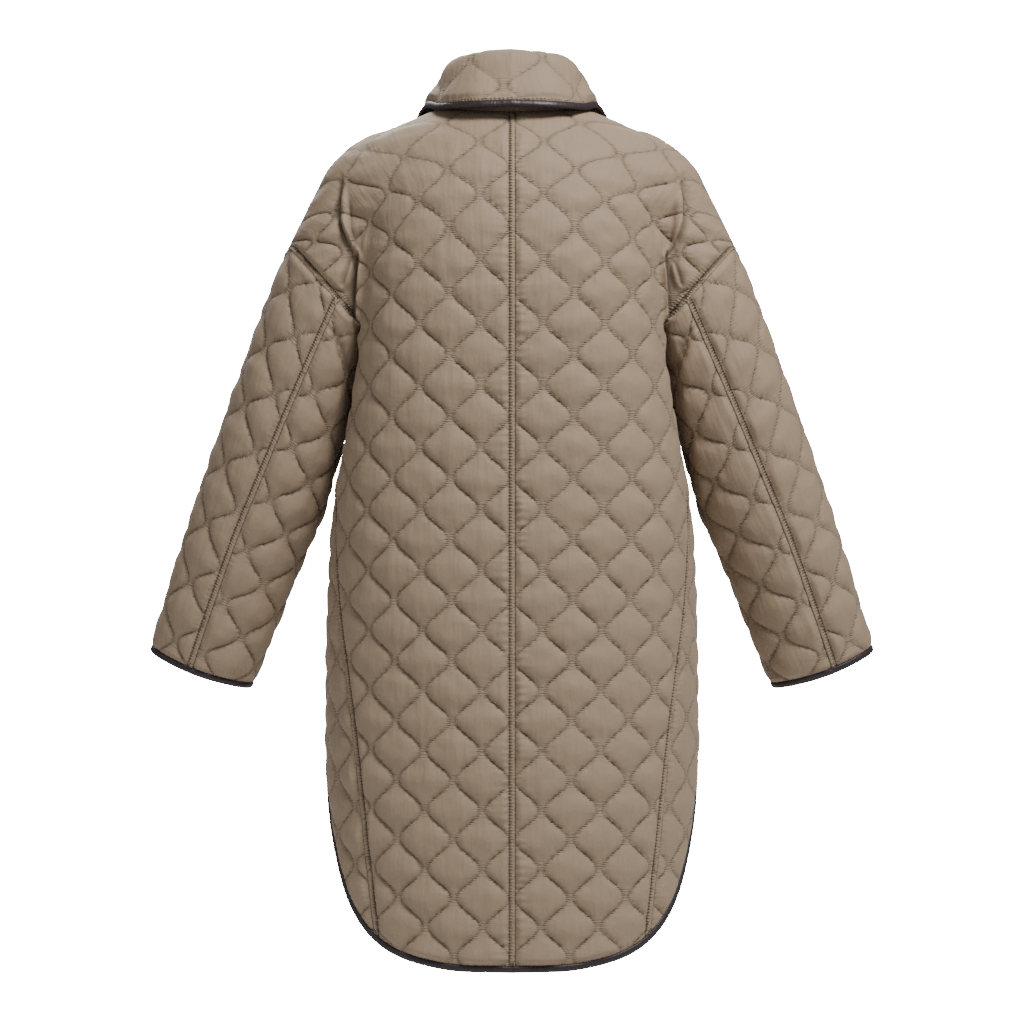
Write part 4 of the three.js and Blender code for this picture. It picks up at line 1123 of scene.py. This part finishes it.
def sleeveRelief(p, height):
    q = p * np.array([np.sign(np.median(p[:, 0])), 1, 1])
    clear = np.maximum(0.3, (bodyDistance(q) - armDistance(q) - 4) / 2)
    crease, shade = creasesAt(np.abs(p[:, 0]), p[:, 2], sleeveFolds)
    behind = ease((p[:, 1] - armForwardAt(0)) / 20)
    return np.maximum(np.minimum(height, clear) + crease * behind, lowest), shade * behind


frontTurn = cut["frontSeamAngle"] - cut["backSeamAngle"]
sleeves = {"sleeve_top": layOutSleeve(0, frontTurn), "sleeve_under": layOutSleeve(frontTurn, 360)}
for name, sheet in sleeves.items():
    for side in ("left", "right"):
        sewPanel(name, side, sleeveEdges(sheet, name == "sleeve_top"), sheet.at, sleeveCells, sleeveRelief)

# The collar: one folded piece, standing up from the neck edge and falling over outwards
collarCut = {"clear": 8.9, "puff": 5.0, "cell": 72.0, "shift": 8.0, "rows": 84, "columns": 330}


def neckSide(sign):
    # along the neck edge from the middle of the back round to near the front's edge
    around = back.neck(np.linspace(0.2, 89.9, 50))
    ahead = front.neck(np.linspace(89.5, 10, 50))
    pb, nb = back.at(*around)
    pf, nf = frontPlace(-sign)(*ahead)
    blend = ease(np.linspace(0, 1, 50) * 6)[:, None]
    pf = mix(front.at(*ahead)[0], pf, blend)
    turn = np.array([sign, 1, 1])
    return np.vstack([pb, pf]) * turn, np.vstack([nb, nf]) * turn


def neckEdge():
    pl, nl = neckSide(1)
    pr, nr = neckSide(-1)
    p, n = np.vstack([pr[::-1], pl]), np.vstack([nr[::-1], nl])
    reach = np.concatenate([[0], np.cumsum(np.linalg.norm(np.diff(p, axis=0), axis=1))])
    at = np.linspace(0, reach[-1], collarCut["columns"])
    even = lambda table: np.stack([np.interp(at, reach, table[:, k]) for k in range(3)], -1)
    return even(p), unit(even(n)), at - reach[-1] / 2


def smoothRows(rows, count):
    # a smooth curve through the rows of a column, evenly spread
    rows = np.concatenate([2 * rows[:1] - rows[1:2], rows, 2 * rows[-1:] - rows[-2:-1]])
    fine = []
    for k in range(1, len(rows) - 2):
        a, b, c, d = rows[k - 1], rows[k], rows[k + 1], rows[k + 2]
        for t in np.linspace(0, 1, 24, endpoint=False):
            fine.append(0.5 * (2 * b + (c - a) * t + (2 * a - 5 * b + 4 * c - d) * t * t
                               + (3 * b - a - 3 * c + d) * t ** 3))
    fine.append(rows[-2])
    fine = np.array(fine)
    gaps = np.linalg.norm(np.diff(fine[:, :, :3], axis=0), axis=-1)
    reach = np.concatenate([np.zeros((1, gaps.shape[1])), np.cumsum(gaps, 0)])
    even = np.linspace(0, 1, count)
    out = np.empty((count, fine.shape[1], fine.shape[2]))
    for j in range(fine.shape[1]):
        for k in range(fine.shape[2]):
            out[:, j, k] = np.interp(even * reach[-1, j], reach[:, j], fine[:, j, k])
    return out, even[:, None] * reach[-1][None], reach


def foldCollar():
    p, n, arc = neckEdge()
    angle = np.degrees(np.arctan2(np.abs(p[:, 0]), p[:, 1]))
    sign = np.where(p[:, 0] < 0, -1.0, 1.0)
    read = lambda k: readCurve(collarRows, k, angle)
    fold = np.stack([sign * read(1), read(2), read(3)], -1)
    edge = np.stack([sign * read(4), read(5), read(6)], -1)
    upward = np.array([0.0, 0, 1])
    away = unit((edge - fold) * np.array([1, 1, 0]))
    stand, leaf = unit(fold - p), unit(edge - fold)
    inward = unit(-away + stand * dot(away, stand)[:, None])
    outward = unit(away - leaf * dot(away, leaf)[:, None])
    start = unit(stand - n * dot(stand, n)[:, None])

    def clear(point, extra=0.0):
        need = collarCut["clear"] + extra + np.where((sign < 0) & (p[:, 1] < -60), cut["lapLift"], 0)
        mirror = np.stack([sign, 0 * sign + 1, 0 * sign + 1], -1)
        q = point * mirror
        for _ in range(4):
            short = np.maximum(0, need - shoulderForm(q))
            q = q + unit(slopeOf(shoulderForm, q)) * short[:, None]
        return q * mirror

    lean = lambda a, b, share: unit(a * (1 - share) + b * share)
    middle = clear(mix(fold, edge, 0.52) + outward)
    rest = clear(edge.copy(), 1.5)
    fall = unit(rest - middle)
    turned = fold + away * 5 + leaf * 5
    edgeWay = unit(outward - fall * dot(outward, fall)[:, None])
    bases = [p + start * 0.4, mix(p, fold, 0.5), fold - stand * 6, fold, turned, middle, rest - fall * cutBack]
    up = upward + 0 * fold
    ways = [-n, inward, lean(inward, up, 0.3), up, lean(outward, up, 0.4), outward, edgeWay]
    rows = np.stack([np.concatenate([b, w], -1) for b, w in zip(bases, ways)])
    table, down, reach = smoothRows(rows, collarCut["rows"])
    foldAt = reach[3 * 24]
    return table[:, :, :3], unit(table[:, :, 3:]), down - foldAt[None], arc


def buildCollar():
    base, way, down, arc = foldCollar()
    rows, columns = down.shape
    arcs = np.broadcast_to(arc, down.shape)
    leafNode = 49.0  # a row of nodes runs this far below the fold
    across, below = (arcs - collarCut["shift"]) / collarCut["cell"], (down - leafNode) / collarCut["cell"]
    off, half, m = onion(across, below + 0.5)
    swell = (half / (0.25 + quilting["sway"])) ** quilting["pinchHeight"]
    dome = np.maximum(0, 1 - (off / half) ** 2) ** quilting["dome"]
    fromLine = (half - off) * collarCut["cell"] * 0.8
    endGap = np.minimum(arc - arc[0], arc[-1] - arc)[None] + 0 * down
    share = ease((down[-1:] - down) / 9) * ease((down - down[:1] - 2) / 9) * ease(endGap / 9) ** 0.6
    share = share * (1 - 0.45 * np.exp(-((down / 14) ** 2)))  # pulled flatter over the fold
    height = collarCut["puff"] * swell * dome * share + 0.3 * ripple(arcs, down, 24, 21) * share
    edge = (down[-1:] - down)
    gather = np.exp(-edge / 7) * np.sin(arcs * 2 * np.pi / 7.3 + 2 * np.sin(arcs / 17)) * 0.55
    height = height + gather * ease(edge / 2.5)
    face = base + way * (cut["wall"] + height[..., None])
    points = np.vstack([face.reshape(-1, 3), base.reshape(-1, 3)])
    index = np.arange(rows * columns).reshape(rows, columns)
    a, b, c, d = index[:-1, :-1], index[:-1, 1:], index[1:, 1:], index[1:, :-1]
    quads = np.stack([a, b, c, d], -1).reshape(-1, 4)
    ring = np.concatenate([index[0, :], index[1:, -1], index[-1, -2::-1], index[-2:0:-1, 0]])
    following = np.roll(ring, -1)
    count = rows * columns
    sides = np.stack([ring, ring + count, following + count, following], -1)
    faces = np.vstack([quads, (quads + count)[:, ::-1], sides])
    centre = points[quads]
    volume = dot(centre[:, 0], np.cross(centre[:, 1], centre[:, 2])).sum() - dot(
        points[quads[:, 0] + count], np.cross(points[quads[:, 1] + count], points[quads[:, 2] + count])).sum()
    if volume < 0:
        faces = faces[:, ::-1]
    flat = np.stack([arcs, down], -1).reshape(-1, 2)
    sewing = np.stack([arcs, edge - 1.2], -1).reshape(-1, 2)
    none = np.zeros(count)
    maps = {"flat": np.vstack([flat, flat]), "sewing": np.vstack([sewing, 0 * sewing + 50])}
    values = {
        "pinch": np.concatenate([np.maximum(np.exp(-fromLine / 5), np.exp(-edge / 6)).ravel(), none]),
        "line": np.concatenate([np.exp(-fromLine / 1.2).ravel(), none]),
        "comb": np.concatenate([none + 0.4, none]),
        "neck": np.concatenate([(ease((0.15 - half) / 0.09) * share).ravel(), none]),
    }
    piece = makeMesh("collar_cloth", points, [tuple(f) for f in faces.tolist()], cloth, maps, values)
    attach(piece, "root")
    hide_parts("collar")
    return piece, base, way, arc, down


collarPiece, collarBase, collarWay, collarArc, collarDown = buildCollar()
# Bindings: a smooth strip folded over each cut edge
binding = {"thick": 5.0, "step": 3.6, "gather": 0.07}
bindingSection = np.array([
    (0.3, -1.5), (0.9, -2.1), (2.6, -2.45), (5.0, -2.45), (6.8, -1.95), (7.7, -1.1), (8.0, 0),
    (7.7, 1.1), (6.8, 1.95), (5.0, 2.45), (2.6, 2.45), (0.9, 2.1), (0.3, 1.5),
])


def bindEdge(name, places, normals, outwardOf, closed=False, seed=1):
    count = len(places)
    before = np.roll(places, 1, 0) if closed else places[np.maximum(np.arange(count) - 1, 0)]
    after = np.roll(places, -1, 0) if closed else places[np.minimum(np.arange(count) + 1, count - 1)]
    first, last = places - before, after - places
    if not closed:
        first[0], last[-1] = last[0], first[-1]
    sideA, sideB = unit(np.cross(first, normals)), unit(np.cross(last, normals))
    out = unit(sideA + sideB)
    sign = np.sign(dot(out, outwardOf(places)))
    out = out * (np.where(sign == 0, 1, sign) / np.maximum(0.6, dot(out, sideA)))[:, None]
    along = np.concatenate([[0], np.cumsum(np.linalg.norm(np.diff(places, axis=0), axis=1))])
    swell = 1 + binding["gather"] * (0.6 * np.sin(along / 1.9 + seed) + np.sin(along / 4.3 + 2 * seed) * 0.6
                                     + 0.5 * np.sin(along / 13 + seed))
    section = bindingSection
    ringSize = len(section)
    points = (places[:, None] + out[:, None] * section[None, :, :1]
              + normals[:, None] * section[None, :, 1:] * np.minimum(swell, 1.12)[:, None, None])
    points = points.reshape(-1, 3)
    faces = []
    for i in range(count if closed else count - 1):
        j = (i + 1) % count
        for k in range(ringSize):
            m = (k + 1) % ringSize
            faces.append((i * ringSize + k, i * ringSize + m, j * ringSize + m, j * ringSize + k))
    if not closed:
        faces.append(tuple(range(ringSize))[::-1])
        faces.append(tuple(range((count - 1) * ringSize, count * ringSize)))
    quads = np.array([f for f in faces if len(f) == 4])
    volume = dot(points[quads[:, 0]], np.cross(points[quads[:, 1]], points[quads[:, 2]])).sum()
    if volume < 0:
        faces = [f[::-1] for f in faces]
    around = np.concatenate([[0], np.cumsum(np.hypot(*np.diff(section, axis=0).T))])
    flat = np.stack(np.broadcast_arrays(along[:, None], around[None]), -1).reshape(-1, 2)
    piece = makeMesh(name + "_strip", points, faces, leather, {"flat": flat}, {})
    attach(piece, "root")
    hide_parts(name)
    return piece


def midCloth(place, line):
    p, n = place(line[:, 0], line[:, 1])
    return p - n * cut["wall"] / 2, n


hemHalf = evenly(np.vstack([hemLine(back, 0, cut["hemEnd"]), slitEdge(back)[:1]]), binding["step"])
p, n = midCloth(back.at, hemHalf)
bindEdge("hem_binding_back", np.vstack([(p * mirrorX)[:0:-1], p]), np.vstack([(n * mirrorX)[:0:-1], n]),
         lambda q: np.array([0.0, 0, -1]) + 0 * q, seed=2)

for side, lift in (("left", -1), ("right", 1)):
    top = float(upperEdges(front, lapEdge)[2][-1, 1]) + 1
    foot = float(front.hem(np.array(0.0))[1])
    edge = evenly(flatLine(lapEdge, np.linspace(top, foot, 60)), binding["step"])
    hem = np.vstack([[[lapEdge, foot]], hemLine(front, 0, cut["hemEnd"]), slitEdge(front)[:1]])
    hem = evenly(hem, binding["step"])
    p, n = midCloth(frontPlace(lift), np.vstack([edge, hem[1:]]))
    sides = np.stack([np.where(p[:, 0] < 25, -1, 0.2), 0 * p[:, 0], np.where(p[:, 2] < -930, -1, -0.1)], -1)
    if side == "right":
        p, n, sides = p * mirrorX, n * mirrorX, sides * mirrorX
    bindEdge("front_binding_" + side, p, n, lambda q, sides=sides: sides, seed=3 + lift)

cuffs = []
for sheet in sleeves.values():
    half = float(sheet.widthAt(np.array(cut["sleeveLength"]))) / 2
    foot = evenly(flatLine(np.array([-half, half]), cut["sleeveLength"]), binding["step"])
    cuffs.append(midCloth(sheet.at, foot[:-1]))
p, n = np.vstack([c[0] for c in cuffs]), np.vstack([c[1] for c in cuffs])
alongArm = np.array([cut["armWay"][0], -0.14, cut["armWay"][1]])
bindEdge("cuff_binding_left", p, n, lambda q: alongArm + 0 * q, True, 5)
bindEdge("cuff_binding_right", p * mirrorX, n * mirrorX, lambda q: alongArm * mirrorX + 0 * q, True, 6)

turnRow = int(np.argmax(collarDown[:, 0] > 7))
leaf = collarBase + collarWay * cut["wall"] / 2
p = np.vstack([leaf[turnRow:-1, 0], leaf[-1], leaf[-2:turnRow - 1:-1, -1]])
n = np.vstack([collarWay[turnRow:-1, 0], collarWay[-1], collarWay[-2:turnRow - 1:-1, -1]])
fromNeck = lambda q: np.stack([q[:, 0] * 0.3, q[:, 1] - 30, -60 - 0.5 * np.abs(q[:, 0])], -1)
bindEdge("collar_binding", p, n, fromNeck, seed=8)

# The cut of each piece, what it rests on and the binding sewn to it
sewnTo = {
    "back": (["side_back_{}", "front_{}"], ["hem_binding_back"]),
    "side_back": (["back_{}", "front_{}"], ["hem_binding_back"]),
    "front": (["back_{}", "side_back_{}"], ["front_binding_{}"]),
    "sleeve_top": (["back_{}", "front_{}"], ["cuff_binding_{}"]),
    "sleeve_under": (["back_{}", "front_{}"], ["cuff_binding_{}"]),
}
for form, (rests, bound) in sewnTo.items():
    for side in ("left", "right"):
        width, length, area = flatSizes[f"{form}_{side}"]
print("bindings made")


def metalLook():
    look = Nodes("studMetal")
    place = look.add("TexCoord").outputs["Object"]
    look.put(look.shader, "Metallic", 0.9)
    look.put(look.shader, "Roughness", 0.38)
    wear = look.noise(place, 700, 3)
    look.put(look.shader, "Base_Color", look.blend(wear, finish["metal"], (0.16, 0.145, 0.135)))
    look.put(look.shader, "Normal", look.bump(look.noise(place, 2500, 2), 0.2, 0.00005))
    return look.material


metal = metalLook()
for number, v in enumerate(studs["depths"]):
    seat, n = frontPlace(1)(np.array(0.0), np.array(float(v)))
    seat = (seat + n * (studs["seat"] + 0.05)) * mirrorX * 0.001
    n = Vector((n * mirrorX).tolist())
    bpy.ops.object.select_all(action="DESELECT")
    bpy.ops.mesh.primitive_cylinder_add(
        vertices=48, radius=studs["radius"] * 0.001, depth=0.0022, location=(0, 0, 0.0011))
    stud = bpy.context.object
    stud.name = f"stud_{number + 1}_cap"
    bpy.ops.object.transform_apply(location=True, rotation=False, scale=False)
    bpy.ops.object.mode_set(mode="EDIT")
    bpy.ops.mesh.select_all(action="DESELECT")
    bpy.ops.object.mode_set(mode="OBJECT")
    for face in stud.data.polygons:
        face.select = face.normal.z > 0.9
    bpy.ops.object.mode_set(mode="EDIT")
    bpy.ops.mesh.select_mode(type="FACE")
    for width, rise in ((0.0006, 0.0005), (0.0008, 0.0), (0.0003, -0.0006), (0.0026, 0.0003), (0.0014, 0.0004)):
        bpy.ops.mesh.inset(thickness=width, depth=0)
        bpy.ops.transform.translate(value=(0, 0, rise))
    bpy.ops.object.mode_set(mode="OBJECT")
    bevel = stud.modifiers.new("bevel", "BEVEL")
    bevel.width, bevel.segments, bevel.limit_method, bevel.angle_limit = 0.00025, 2, "ANGLE", math.radians(25)
    bpy.ops.object.modifier_apply(modifier="bevel")
    bpy.ops.object.shade_smooth_by_angle(angle=math.radians(35))
    turn = Vector((0, 0, 1)).rotation_difference(n).to_matrix().to_4x4()
    turn.translation = Vector(seat.tolist())
    stud.data.transform(turn)
    stud.data.materials.clear()
    stud.data.materials.append(metal)
    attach(stud, "root")
    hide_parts(f"stud_{number + 1}")
print("studs made")

# Pale floor and soft studio light
bpy.ops.object.select_all(action="DESELECT")
bpy.ops.mesh.primitive_circle_add(vertices=96, radius=2.3, fill_type="NGON", location=(0, 0, -1.45))
floor = bpy.context.object
floor.name = "floor"
floorLook = Nodes("floorPaint")
floorLook.put(floorLook.shader, "Base_Color", (0.82, 0.82, 0.81, 1))
floorLook.put(floorLook.shader, "Roughness", 0.9)
floor.data.materials.append(floorLook.material)

studio = {
    "key": ((-1.2, 1.7, 2.4), 1.1, 165),
    "left": ((2.8, 1.6, 0.2), 1.5, 12),
    "right": ((-3.0, 1.0, -0.2), 1.5, 7),
    "front": ((0.8, -2.4, 2.2), 1.6, 110),
}
for name, (place, size, power) in studio.items():
    lamp = bpy.data.lights.new(name, "AREA")
    lamp.energy, lamp.size = power, size
    lampObject = bpy.data.objects.new(name, lamp)
    lampObject.location = place
    aim = Vector((0, 0, -0.4)) - Vector(place)
    lampObject.rotation_euler = aim.to_track_quat("-Z", "Y").to_euler()
    bpy.context.scene.collection.objects.link(lampObject)

# The backdrop shows white, and lights the cloth softly
world = bpy.data.worlds.new("studio")
bpy.context.scene.world = world
world.use_nodes = True
tree = world.node_tree
seen, glow = tree.nodes["Background"], tree.nodes.new("ShaderNodeBackground")
seen.inputs["Strength"].default_value, glow.inputs["Strength"].default_value = 40.0, 0.24
seen.inputs["Color"].default_value = glow.inputs["Color"].default_value = (1, 1, 1, 1)
ray, share = tree.nodes.new("ShaderNodeLightPath"), tree.nodes.new("ShaderNodeMixShader")
tree.links.new(ray.outputs["Is Camera Ray"], share.inputs[0])
tree.links.new(glow.outputs[0], share.inputs[1])
tree.links.new(seen.outputs[0], share.inputs[2])
tree.links.new(share.outputs[0], tree.nodes["World Output"].inputs["Surface"])
print("stage made")
